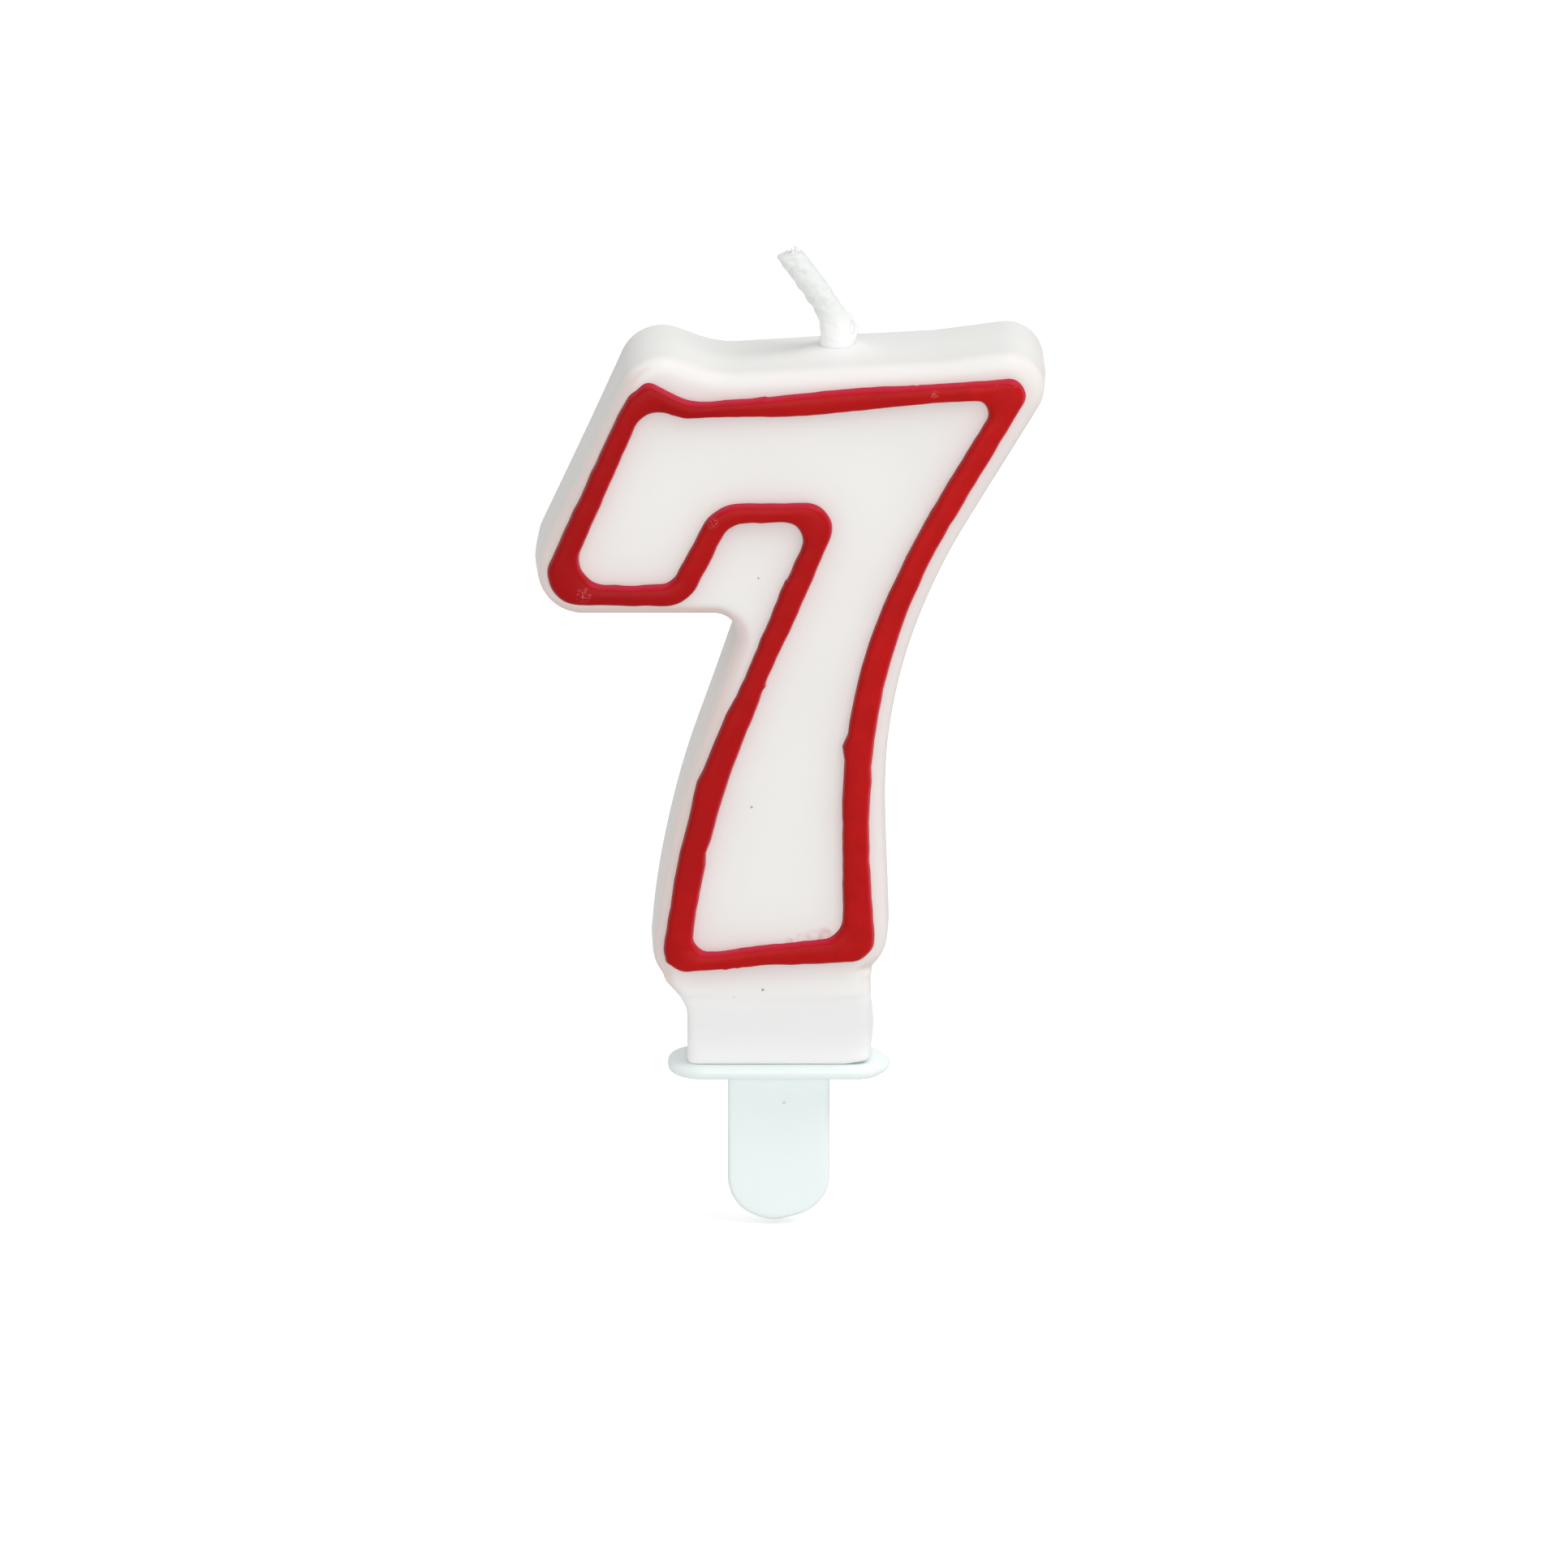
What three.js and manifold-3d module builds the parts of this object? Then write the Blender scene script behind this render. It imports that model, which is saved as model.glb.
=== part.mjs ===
// Number candle: a cast wax seven with a raised coloured outline on each face, the wick that runs
// down its stem, and the plastic holder whose spike goes into a cake.
// Millimetres, +Z up, the seven is read from -Y. The origin is where the spike meets the underside
// of the holder's collar, on the holder's centre line.
import * as THREE from "three";
import { mergeVertices } from "three/addons/utils/BufferGeometryUtils.js";
import Module from "manifold-3d";

const wasm = await Module();
wasm.setup();

// Holder
const COLLAR_THICKNESS = 1.5;
const COLLAR_OVERHANG = 1.8; // past each end of the neck
const COLLAR_LEDGE = 0.4; // past each face of the neck
const COLLAR_CORNER = 3.5; // seen from above
const COLLAR_RIM = 0.7; // rounding of its rim, above and below
const SPIKE_WIDTH = 9.6;
const SPIKE_THICKNESS = 2.2;
const SPIKE_LENGTH = 14.7;
const SPIKE_POINT = 1.5; // its blunt point, below the ends of its sides
const SPIKE_POINT_SHIFT = -0.6;
const SPIKE_TIP_RADIUS = 4.0;
const TANG_WIDTH = 8.0;
const TANG_THICKNESS = 2.0;
const TANG_LENGTH = 9.0; // above the collar, inside the neck
const TANG_CORNER = 2.0;
const BLADE_EDGE = 0.45; // rounding of the long edges of spike and tang
const TANG_CLEARANCE = 0.3; // all round, in the neck's slot

// Neck, from its base on the collar up to the numeral's foot
const NECK_WIDTH = 17.3;
const NECK_DEPTH = 7.0;
const NECK_CORNER = 1.1;
const FLARE_HEIGHT = 2.8; // below the numeral's foot, where the sides sweep out
const LEFT_FLARE = 1.1;
const RIGHT_FLARE = 0.2;
const STRAIGHT_NECK = 1.0; // above its base, before it starts to deepen
const NECK_SINK = 0.05; // its faces end this far below the numeral's

// The seven, drawn as the line that its outline should follow. Heights are above the neck's base.
const FOOT_HEIGHT = 11.15; // lower left corner
const FOOT_RISE = 1.2; // the foot's right end is this much higher
const FOOT_WIDTH = 16.8;
const FOOT_SHIFT = -0.9; // middle of the foot, from the holder's centre line
const SHIN_HEIGHT = 15.3; // foot to the bend in the stem's left side
const SHIN_LEAN = 6.5; // degrees from upright
const STEM_LEAN = 23.1; // degrees from upright
const HOOK_TOP = 54.8;
const HOOK_WIDTH = 9.95;
const HOOK_RISE = 7.85; // above the bar's lower edge
const HOOK_LEAN = 27.1; // degrees from upright
const FLAG_WIDTH = 11.55; // lower edge of the bar, left of the hook
const FLAG_LEAN = 24.4; // degrees from upright
const BAR_HEIGHT = 20.7;
const DIP_RUN = 5.4; // from the top left corner to the dip beside it
const DIP_DEPTH = 2.1;
const TOP_RISE = 0.2; // the top right corner above the top left one
const BACK_KNEE = 28.3; // foot to the bend in the stem's right side
const BACK_FOOT_LEAN = -1.5; // degrees from upright
const BACK_LEAN = 30.7; // degrees from upright
const LINE_RADIUS = {
  barLeft: 2.4,
  barHook: 2.2,
  hookLeft: 2.0,
  hookRight: 1.5,
  shin: 70,
  footLeft: 1.4,
  footRight: 1.7,
  backKnee: 56,
  topRight: 0.8,
  dip: 4.0,
  topLeft: 1.4,
};

// Outline bead, laid on by hand
const BEAD_WIDTH = 2.3;
const BEAD_HEIGHT = 0.9;
const BEAD_SHOULDER = 0.3;
// How far it strays from its line at some corners, across and up.
const BEAD_STRAY = {
  barLeft: [-0.55, 0.15],
  footLeft: [-0.35, 0.0],
  backKnee: [0.3, 0.0],
  topRight: [-0.7, -1.1],
  dip: [-2.0, -0.9],
  topLeft: [-1.3, -0.95],
};

// Wax round the outline
const WAX_THICKNESS = 12.8;
const FACE_MARGIN = 1.1; // flat wax outside the line's bead
const FACE_EDGE = 0.45; // rounding between face and side
const SIDE_DRAFT = 0.2; // how far each side slopes out from the face to the mould's parting line
const FOOT_SKIRT = 0.4; // extra wax below the line's foot
const NOTCH_REACH = 10.2; // from the bar's hook to the corner between bar and stem
const NOTCH_RADIUS = 4.9;
const KNEE_HEIGHT = 22.0; // bend in the wax's left side
const KNEE_RADIUS = 85;
const WAX_STEM_LEAN = 19.6; // degrees from upright
const WAX_DIP_RADIUS = 12;
const TOP_TURN_RUN = 8.0; // from the top right corner back to where the top edge turns up to it
const TOP_TURN_DROP = 1.1;
const TOP_TURN_RADIUS = 14;

// Wick
const WICK_DIAMETER = 2.4;
const WICK_CLEARANCE = 0.3;
const WICK_FOOT_WALL = 1.5; // wax between the slot and the wick's foot
const WICK_FROM_HOOK = 0.95; // it leaves the wax this far right of the hook's right corner
// The free end: across and up from where the wick leaves the wax.
const WICK_FREE_END = [
  [0.0, 1.3],
  [-0.1, 2.8],
  [-0.9, 4.1],
  [-2.4, 6.6],
  [-4.2, 9.0],
];

// Fineness
const ARC_STEP = 15; // degrees, at most
const ARC_SAG = 0.03; // most that a chord may leave its arc
const LEAST_RADIUS = 0.15;
const CORNER_ROOM = 0.98; // most of a side that the arcs at its two ends may take
const EDGE_STEPS = 4; // along each rounded edge
const SHOULDER_STEPS = 2;
const NECK_SECTIONS = 12;
const WICK_SIDES = 10;
const WICK_STEPS = 44;

const radians = THREE.MathUtils.degToRad;

// The point that lies a height above another, along a line that leans right of upright.
function above([x, y], height, lean) {
  return [x + height * Math.tan(radians(lean)), y + height];
}

// The corners of the line, counter-clockwise from the bar's lower left.
function linePoints() {
  const footLeft = [FOOT_SHIFT - FOOT_WIDTH / 2, FOOT_HEIGHT];
  const footRight = [FOOT_SHIFT + FOOT_WIDTH / 2, FOOT_HEIGHT + FOOT_RISE];
  const shin = above(footLeft, SHIN_HEIGHT, SHIN_LEAN);
  const hookRight = above(shin, HOOK_TOP - shin[1], STEM_LEAN);
  const hookLeft = [hookRight[0] - HOOK_WIDTH, HOOK_TOP];
  const barHook = above(hookLeft, -HOOK_RISE, HOOK_LEAN);
  const barLeft = [barHook[0] - FLAG_WIDTH, barHook[1]];
  const topLeft = above(barLeft, BAR_HEIGHT, FLAG_LEAN);
  const dip = [topLeft[0] + DIP_RUN, topLeft[1] - DIP_DEPTH];
  const backKnee = above(footRight, BACK_KNEE, BACK_FOOT_LEAN);
  const topRight = above(backKnee, topLeft[1] + TOP_RISE - backKnee[1], BACK_LEAN);
  return {
    barLeft,
    barHook,
    hookLeft,
    hookRight,
    shin,
    footLeft,
    footRight,
    backKnee,
    topRight,
    dip,
    topLeft,
  };
}

// The bead's corners: those of the line, moved where the bead strays.
function beadCorners() {
  return Object.entries(linePoints()).map(([name, [x, y]]) => {
    const [across, up] = BEAD_STRAY[name] ?? [0, 0];
    return { at: [x + across, y + up], radius: LINE_RADIUS[name] };
  });
}

// The wax's corners: it fills the hook, and its left side bends higher than the line does.
function waxCorners() {
  const line = linePoints();
  const corner = (name, down = 0) => {
    const [x, y] = line[name];
    return { at: [x, y - down], radius: LINE_RADIUS[name] };
  };
  const notch = [line.barHook[0] + NOTCH_REACH, line.barHook[1]];
  const knee = above(notch, KNEE_HEIGHT - notch[1], WAX_STEM_LEAN);
  const topTurn = [line.topRight[0] - TOP_TURN_RUN, line.topRight[1] - TOP_TURN_DROP];
  return {
    barLeft: corner("barLeft"),
    notch: { at: notch, radius: NOTCH_RADIUS },
    knee: { at: knee, radius: KNEE_RADIUS },
    footLeft: corner("footLeft", FOOT_SKIRT),
    footRight: corner("footRight", FOOT_SKIRT),
    backKnee: corner("backKnee"),
    topRight: corner("topRight"),
    topTurn: { at: topTurn, radius: TOP_TURN_RADIUS },
    dip: { at: line.dip, radius: WAX_DIP_RADIUS },
    topLeft: corner("topLeft"),
  };
}

// A rectangle's corners, counter-clockwise, with one radius for the lower two and one for the upper.
function rectangle(left, right, bottom, top, lowRadius, highRadius) {
  return [
    { at: [left, bottom], radius: lowRadius },
    { at: [right, bottom], radius: lowRadius },
    { at: [right, top], radius: highRadius },
    { at: [left, top], radius: highRadius },
  ];
}

// How a polygon turns at each corner: counter-clockwise is positive. A corner's radius is made
// smaller where the arcs at the two ends of a side would meet.
function bendsOf(corners) {
  const count = corners.length;
  const sides = corners.map(({ at }, i) => {
    const next = corners[(i + 1) % count].at;
    return new THREE.Vector2(next[0] - at[0], next[1] - at[1]);
  });
  const bends = corners.map(({ at, radius }, i) => {
    const before = sides[(i + count - 1) % count];
    const after = sides[i];
    const turn = Math.atan2(before.cross(after), before.dot(after));
    return { at, before, after, turn, reach: radius * Math.tan(Math.abs(turn) / 2) };
  });
  return bends.map((bend, i) => {
    const { before, after, turn, reach } = bend;
    const last = bends[(i + count - 1) % count];
    const next = bends[(i + 1) % count];
    const roomBefore = (CORNER_ROOM * before.length()) / (reach + last.reach);
    const roomAfter = (CORNER_ROOM * after.length()) / (reach + next.reach);
    const room = Math.min(1, roomBefore, roomAfter);
    return { ...bend, radius: (room * reach) / Math.tan(Math.abs(turn) / 2) };
  });
}

// Points round a polygon with rounded corners, grown outwards by an offset. Outlines of the same
// corners have the same number of points at any offset, so they can be joined one to the next.
function outlinePoints(corners, offset = 0) {
  return bendsOf(corners).flatMap(({ at, before, turn, radius }) => {
    const side = Math.sign(turn);
    const grown = Math.max(LEAST_RADIUS, radius + side * offset);
    const outwards = before.angle() - Math.PI / 2;
    // The arc's centre lies on the line that halves the corner.
    const reach = (offset - side * grown) / Math.cos(turn / 2);
    const x = at[0] + reach * Math.cos(outwards + turn / 2);
    const y = at[1] + reach * Math.sin(outwards + turn / 2);
    const finest = 2 * Math.acos(1 - ARC_SAG / Math.max(radius, 1));
    const steps = Math.ceil(Math.abs(turn) / Math.min(radians(ARC_STEP), finest));
    return Array.from({ length: steps + 1 }, (_, k) => {
      const angle = outwards + (turn * k) / steps;
      const arm = new THREE.Vector2(Math.cos(angle), Math.sin(angle)).multiplyScalar(side * grown);
      return arm.add(new THREE.Vector2(x, y));
    });
  });
}

// A closed surface through rings of points, each counter-clockwise seen from the last ring's side.
// A round one joins the last ring to the first; any other is capped at both ends.
function loft(rings, round = false) {
  const size = rings[0].length;
  const faces = [];
  const links = round ? rings.length : rings.length - 1;
  for (let r = 0; r < links; r++) {
    const low = r * size;
    const high = ((r + 1) % rings.length) * size;
    for (let i = 0; i < size; i++) {
      const j = (i + 1) % size;
      faces.push(low + i, low + j, high + j, low + i, high + j, high + i);
    }
  }
  if (!round) {
    const last = (rings.length - 1) * size;
    faces.push(...capOf(rings[0]).flatMap(([a, b, c]) => [a, c, b]));
    faces.push(...capOf(rings[rings.length - 1]).flatMap((face) => face.map((i) => last + i)));
  }
  const geometry = new THREE.BufferGeometry();
  const positions = rings.flat().flatMap(({ x, y, z }) => [x, y, z]);
  geometry.setAttribute("position", new THREE.Float32BufferAttribute(positions, 3));
  geometry.setIndex(faces);
  return geometry;
}

// Triangles that fill a flat ring
function capOf(ring) {
  const outline = ring.map(({ x, y }) => new THREE.Vector2(x, y));
  return THREE.ShapeUtils.triangulateShape(outline, []);
}

const ringAt = (points, z) => points.map(({ x, y }) => new THREE.Vector3(x, y, z));

// How far in and how high the points of a rounded edge lie, from the side to the flat.
function edgeProfile(radius, steps = EDGE_STEPS) {
  return Array.from({ length: steps + 1 }, (_, k) => {
    const angle = (k / steps) * (Math.PI / 2);
    return [radius * (1 - Math.cos(angle)), radius * Math.sin(angle)];
  });
}

// A plate from z = 0 up to its thickness, with rounded edges at top and bottom.
function roundedPlate(corners, thickness, edge) {
  const radius = Math.min(edge, (CORNER_ROOM * thickness) / 2);
  const high = edgeProfile(radius).map(([inset, rise]) => [inset, thickness - radius + rise]);
  const low = high.map(([inset, z]) => [inset, thickness - z]).reverse();
  return loft([...low, ...high].map(([inset, z]) => ringAt(outlinePoints(corners, -inset), z)));
}

// Turns a shape drawn on its back, so that its y points up and its z faces the reader.
const standUp = (geometry) => geometry.rotateX(Math.PI / 2);

// Solids for joining and cutting, and back
function solidOf(geometry) {
  const bare = new THREE.BufferGeometry();
  bare.setAttribute("position", geometry.getAttribute("position"));
  if (geometry.index) bare.setIndex(geometry.index);
  const merged = mergeVertices(bare, 1e-4);
  return new wasm.Manifold(
    new wasm.Mesh({
      numProp: 3,
      vertProperties: merged.getAttribute("position").array,
      triVerts: new Uint32Array(merged.index.array),
    }),
  );
}

function geometryOf(solid) {
  const { vertProperties, triVerts } = solid.getMesh();
  const geometry = new THREE.BufferGeometry();
  geometry.setAttribute("position", new THREE.Float32BufferAttribute(vertProperties, 3));
  geometry.setIndex(new THREE.Uint32BufferAttribute(triVerts, 1));
  geometry.computeVertexNormals();
  return geometry;
}

// Holder

// A flat blade standing in the XZ plane, its thickness across Y.
function blade(corners, thickness, edge) {
  return standUp(roundedPlate(corners, thickness, edge).translate(0, 0, -thickness / 2));
}

// The tang's shape with z = 0 at the collar's top, or its slot's when it is grown by the clearance.
// Its lower end is in the middle of the collar.
function tangBlade(grown = 0) {
  const half = TANG_WIDTH / 2 + grown;
  const top = TANG_LENGTH + grown;
  const corners = rectangle(-half, half, -COLLAR_THICKNESS / 2, top, BLADE_EDGE, TANG_CORNER + grown);
  return blade(corners, TANG_THICKNESS + 2 * grown, BLADE_EDGE);
}

function spikeBlade() {
  const half = SPIKE_WIDTH / 2;
  const top = COLLAR_THICKNESS / 2;
  const sideEnd = SPIKE_POINT - SPIKE_LENGTH;
  const corners = [
    { at: [SPIKE_POINT_SHIFT, -SPIKE_LENGTH], radius: SPIKE_TIP_RADIUS },
    { at: [half, sideEnd], radius: SPIKE_TIP_RADIUS },
    { at: [half, top], radius: BLADE_EDGE },
    { at: [-half, top], radius: BLADE_EDGE },
    { at: [-half, sideEnd], radius: SPIKE_TIP_RADIUS },
  ];
  return blade(corners, SPIKE_THICKNESS, BLADE_EDGE);
}

function collarPlate() {
  const endX = NECK_WIDTH / 2 + COLLAR_OVERHANG;
  const endY = NECK_DEPTH / 2 + COLLAR_LEDGE;
  const plan = rectangle(-endX, endX, -endY, endY, COLLAR_CORNER, COLLAR_CORNER);
  return roundedPlate(plan, COLLAR_THICKNESS, COLLAR_RIM);
}

function holderGeometry() {
  const tang = tangBlade().translate(0, 0, COLLAR_THICKNESS);
  return geometryOf(solidOf(collarPlate()).add(solidOf(spikeBlade())).add(solidOf(tang)));
}

// Candle, with z = 0 at the neck's base

// How far the wax's widest outline, at the parting line, lies outside the bead's centre line.
const WAX_OFFSET = BEAD_WIDTH / 2 + FACE_MARGIN + FACE_EDGE + SIDE_DRAFT;

function numeralGeometry() {
  const corners = Object.values(waxCorners());
  const edge = WAX_THICKNESS / 2 - FACE_EDGE;
  const front = edgeProfile(FACE_EDGE).map(([inset, rise]) => [SIDE_DRAFT + inset, edge + rise]);
  const back = front.map(([inset, z]) => [inset, -z]).reverse();
  const rings = [...back, [0, 0], ...front].map(([inset, z]) => {
    return ringAt(outlinePoints(corners, WAX_OFFSET - inset), z);
  });
  return standUp(loft(rings));
}

// The neck widens into the numeral's foot at both sides, front and back.
function neckGeometry() {
  const { footLeft, footRight } = waxCorners();
  const inside = Math.min(footLeft.at[1], footRight.at[1]);
  const foot = inside - WAX_OFFSET;
  const face = foot + SIDE_DRAFT + FACE_EDGE;
  const deepest = WAX_THICKNESS - 2 * NECK_SINK;
  const rings = Array.from({ length: NECK_SECTIONS + 1 }, (_, k) => {
    const z = (inside * k) / NECK_SECTIONS;
    const flare = THREE.MathUtils.clamp((z - foot) / FLARE_HEIGHT + 1, 0, 1) ** 2;
    const swell = THREE.MathUtils.smoothstep(z, STRAIGHT_NECK, face);
    const depth = THREE.MathUtils.lerp(NECK_DEPTH, deepest, swell) / 2;
    const left = -NECK_WIDTH / 2 - LEFT_FLARE * flare;
    const right = NECK_WIDTH / 2 + RIGHT_FLARE * flare;
    return ringAt(outlinePoints(rectangle(left, right, -depth, depth, NECK_CORNER, NECK_CORNER)), z);
  });
  return loft(rings);
}

// Height of the wax's top edge at the parting line, on its straight stretch right of the dip.
function topEdge(x) {
  const { dip, topTurn } = waxCorners();
  const slope = (topTurn.at[1] - dip.at[1]) / (topTurn.at[0] - dip.at[0]);
  return dip.at[1] + slope * (x - dip.at[0]) + WAX_OFFSET * Math.hypot(1, slope);
}

// The wick's centre line: straight up through the stem, then bent over where it is free.
function wickPoints() {
  const foot = new THREE.Vector3(FOOT_SHIFT, 0, TANG_LENGTH + TANG_CLEARANCE + WICK_FOOT_WALL);
  const exitX = linePoints().hookRight[0] + WICK_FROM_HOOK;
  const exit = new THREE.Vector3(exitX, 0, topEdge(exitX));
  const free = WICK_FREE_END.map(([across, up]) => new THREE.Vector3(exit.x + across, 0, exit.z + up));
  return { foot, exit, free };
}

function tubeAlong(path, radius, steps) {
  const section = new THREE.Shape().absarc(0, 0, radius, 0, 2 * Math.PI);
  const settings = { steps, curveSegments: WICK_SIDES, extrudePath: path, bevelEnabled: false };
  return new THREE.ExtrudeGeometry(section, settings);
}

function wickGeometry() {
  const { foot, exit, free } = wickPoints();
  const path = new THREE.CurvePath();
  path.add(new THREE.LineCurve3(foot, exit));
  path.add(new THREE.CatmullRomCurve3([exit, ...free]));
  return tubeAlong(path, WICK_DIAMETER / 2, WICK_STEPS);
}

// The bore runs past the wax at the top and stops a clearance below the wick's foot.
function wickBore() {
  const { foot, exit } = wickPoints();
  const way = exit.clone().sub(foot).normalize();
  const start = foot.clone().addScaledVector(way, -WICK_CLEARANCE);
  const end = exit.clone().addScaledVector(way, WICK_DIAMETER);
  return tubeAlong(new THREE.LineCurve3(start, end), WICK_DIAMETER / 2 + WICK_CLEARANCE, 1);
}

function waxBodyGeometry() {
  const wax = solidOf(numeralGeometry()).add(solidOf(neckGeometry()));
  const slotted = wax.subtract(solidOf(tangBlade(TANG_CLEARANCE)));
  return geometryOf(slotted.subtract(solidOf(wickBore())));
}

// A bead along the outline on one face: side is 1 at the front and -1 at the back.
function beadGeometry(side) {
  const corners = beadCorners();
  const half = BEAD_WIDTH / 2;
  const flank = BEAD_HEIGHT - BEAD_SHOULDER;
  const shoulder = edgeProfile(BEAD_SHOULDER, SHOULDER_STEPS);
  const outer = [[half, 0], ...shoulder.map(([inset, rise]) => [half - inset, flank + rise])];
  const inner = outer.map(([across, height]) => [-across, height]).reverse();
  const section = [...outer, ...inner];
  if (side < 0) section.reverse();
  const rings = section.map(([across, height]) => {
    const z = side * (WAX_THICKNESS / 2 + height);
    return ringAt(outlinePoints(corners, across), z);
  });
  return standUp(loft(rings, true));
}

// Materials
const WHITE_WAX = { color: 0xecebe6, roughness: 0.42 };
const RED_WAX = { color: 0xb01c20, roughness: 0.38 };
const COTTON = { color: 0xf1f2ee, roughness: 0.9 };
const PALE_PLASTIC = { color: 0xe4f1ec, roughness: 0.3 };

function named(name, geometry, finish) {
  const mesh = new THREE.Mesh(geometry, new THREE.MeshStandardMaterial(finish));
  mesh.name = name;
  return mesh;
}

// Assembly
const candle = new THREE.Group();
candle.position.z = COLLAR_THICKNESS;
candle.add(named("wax_body", waxBodyGeometry(), WHITE_WAX));
candle.add(named("wick", wickGeometry(), COTTON));
candle.add(named("front_outline", beadGeometry(1), RED_WAX));
candle.add(named("back_outline", beadGeometry(-1), RED_WAX));

const part = new THREE.Group();
part.add(named("holder", holderGeometry(), PALE_PLASTIC));
part.add(candle);

export default part;
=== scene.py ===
"""Number candle: the looks of a cast wax seven on a push-in holder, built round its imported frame.

Metres, +Z up. The seven is read from -Y, and the origin is where the spike meets the collar.
"""

import math

import bmesh
import bpy
import numpy as np
from bpy.props import FloatProperty, FloatVectorProperty, PointerProperty
from bpy.types import Operator, Panel, PropertyGroup
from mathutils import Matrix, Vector


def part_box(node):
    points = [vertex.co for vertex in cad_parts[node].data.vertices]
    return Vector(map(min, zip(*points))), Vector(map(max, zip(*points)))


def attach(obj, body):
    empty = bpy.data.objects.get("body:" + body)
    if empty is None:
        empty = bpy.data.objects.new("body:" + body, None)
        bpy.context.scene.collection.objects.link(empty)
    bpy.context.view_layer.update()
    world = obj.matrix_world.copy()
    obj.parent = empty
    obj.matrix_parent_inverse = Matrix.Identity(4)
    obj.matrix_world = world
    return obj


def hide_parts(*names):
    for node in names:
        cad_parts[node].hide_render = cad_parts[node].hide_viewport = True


bl_info = {
    "name": "Number candle",
    "version": (1, 0, 0),
    "blender": (4, 5, 0),
    "location": "View3D > Sidebar > Candle",
    "description": "Builds the looks of a wax number candle round its packed frame",
    "category": "Mesh",
}

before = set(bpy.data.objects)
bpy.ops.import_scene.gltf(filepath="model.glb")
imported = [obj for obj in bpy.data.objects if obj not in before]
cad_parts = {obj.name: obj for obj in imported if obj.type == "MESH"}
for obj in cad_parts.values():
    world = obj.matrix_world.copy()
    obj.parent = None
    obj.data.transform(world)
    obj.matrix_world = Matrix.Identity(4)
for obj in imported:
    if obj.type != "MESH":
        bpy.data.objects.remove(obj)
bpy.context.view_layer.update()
WAX_LOW, WAX_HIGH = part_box("wax_body")
BEAD_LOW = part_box("front_outline")[0]

MM = 0.001
DEGREE = math.pi / 180

# Holder
COLLAR_THICKNESS = WAX_LOW.z
COLLAR_OVERHANG = 1.8 * MM
COLLAR_LEDGE = 0.4 * MM
COLLAR_CORNER = 3.5 * MM
COLLAR_RIM = 0.7 * MM
NIP = 0.45  # the share by which the collar's right end closes on a height within it
NIP_RUN = 1.9 * MM
NIP_HEIGHT = 0.45 * COLLAR_THICKNESS
SPIKE_WIDTH = 9.6 * MM
SPIKE_THICKNESS = 2.2 * MM
SPIKE_LENGTH = 14.7 * MM
SPIKE_POINT = 1.5 * MM
SPIKE_POINT_SHIFT = -0.6 * MM
SPIKE_TIP_RADIUS = 4.0 * MM
TANG_WIDTH = 8.0 * MM
TANG_THICKNESS = 2.0 * MM
TANG_LENGTH = 9.0 * MM
TANG_CORNER = 2.0 * MM
BLADE_EDGE = 0.45 * MM
TANG_CLEARANCE = 0.3 * MM

# Neck
NECK_WIDTH = 17.3 * MM
NECK_DEPTH = 7.0 * MM
NECK_CORNER = 1.1 * MM
LEFT_FLARE = 1.1 * MM
LEFT_FLARE_HEIGHT = 2.8 * MM
FLARE_LIMIT = 1.4
RIGHT_FLARE = 0.55 * MM
RIGHT_FLARE_HEIGHT = 1.5 * MM
STRAIGHT_NECK = 1.0 * MM
NECK_SINK = 0.05 * MM
BULGE = 0.27 * MM  # how far its right side swells towards the back
BULGE_HEIGHT = 2.8 * MM
BULGE_REACH = 1.7 * MM
BULGE_SIDE = 1.2 * MM
BULGE_BACK = 1.5 * MM
HEM_LIFT = 0.28 * MM  # how far its lower edge stands off the collar at the right
HEM_HEIGHT = 1.2 * MM
HEM_RUN = (6.0 * MM, 8.4 * MM)

# The seven: the line that its outline should follow, with heights above the neck's base
FOOT_HEIGHT = 11.15 * MM
FOOT_RISE = 1.2 * MM
FOOT_WIDTH = 16.8 * MM
FOOT_SHIFT = -0.9 * MM
SHIN_HEIGHT = 15.3 * MM
SHIN_LEAN = 6.5 * DEGREE
STEM_LEAN = 23.1 * DEGREE
HOOK_TOP = 54.8 * MM
HOOK_WIDTH = 9.95 * MM
HOOK_RISE = 7.85 * MM
HOOK_LEAN = 27.1 * DEGREE
FLAG_WIDTH = 11.55 * MM
FLAG_LEAN = 24.4 * DEGREE
BAR_HEIGHT = 20.7 * MM
DIP_RUN = 5.4 * MM
DIP_DEPTH = 2.1 * MM
TOP_RISE = 0.2 * MM
BACK_KNEE = 28.3 * MM
BACK_FOOT_LEAN = -1.5 * DEGREE
BACK_LEAN = 30.7 * DEGREE
LINE_RADIUS = {
    "barLeft": 2.4 * MM,
    "barHook": 2.2 * MM,
    "hookLeft": 2.0 * MM,
    "hookRight": 1.5 * MM,
    "shin": 70 * MM,
    "footLeft": 1.4 * MM,
    "footRight": 1.7 * MM,
    "backKnee": 56 * MM,
    "topRight": 0.8 * MM,
    "dip": 4.0 * MM,
    "topLeft": 1.4 * MM,
}

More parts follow.
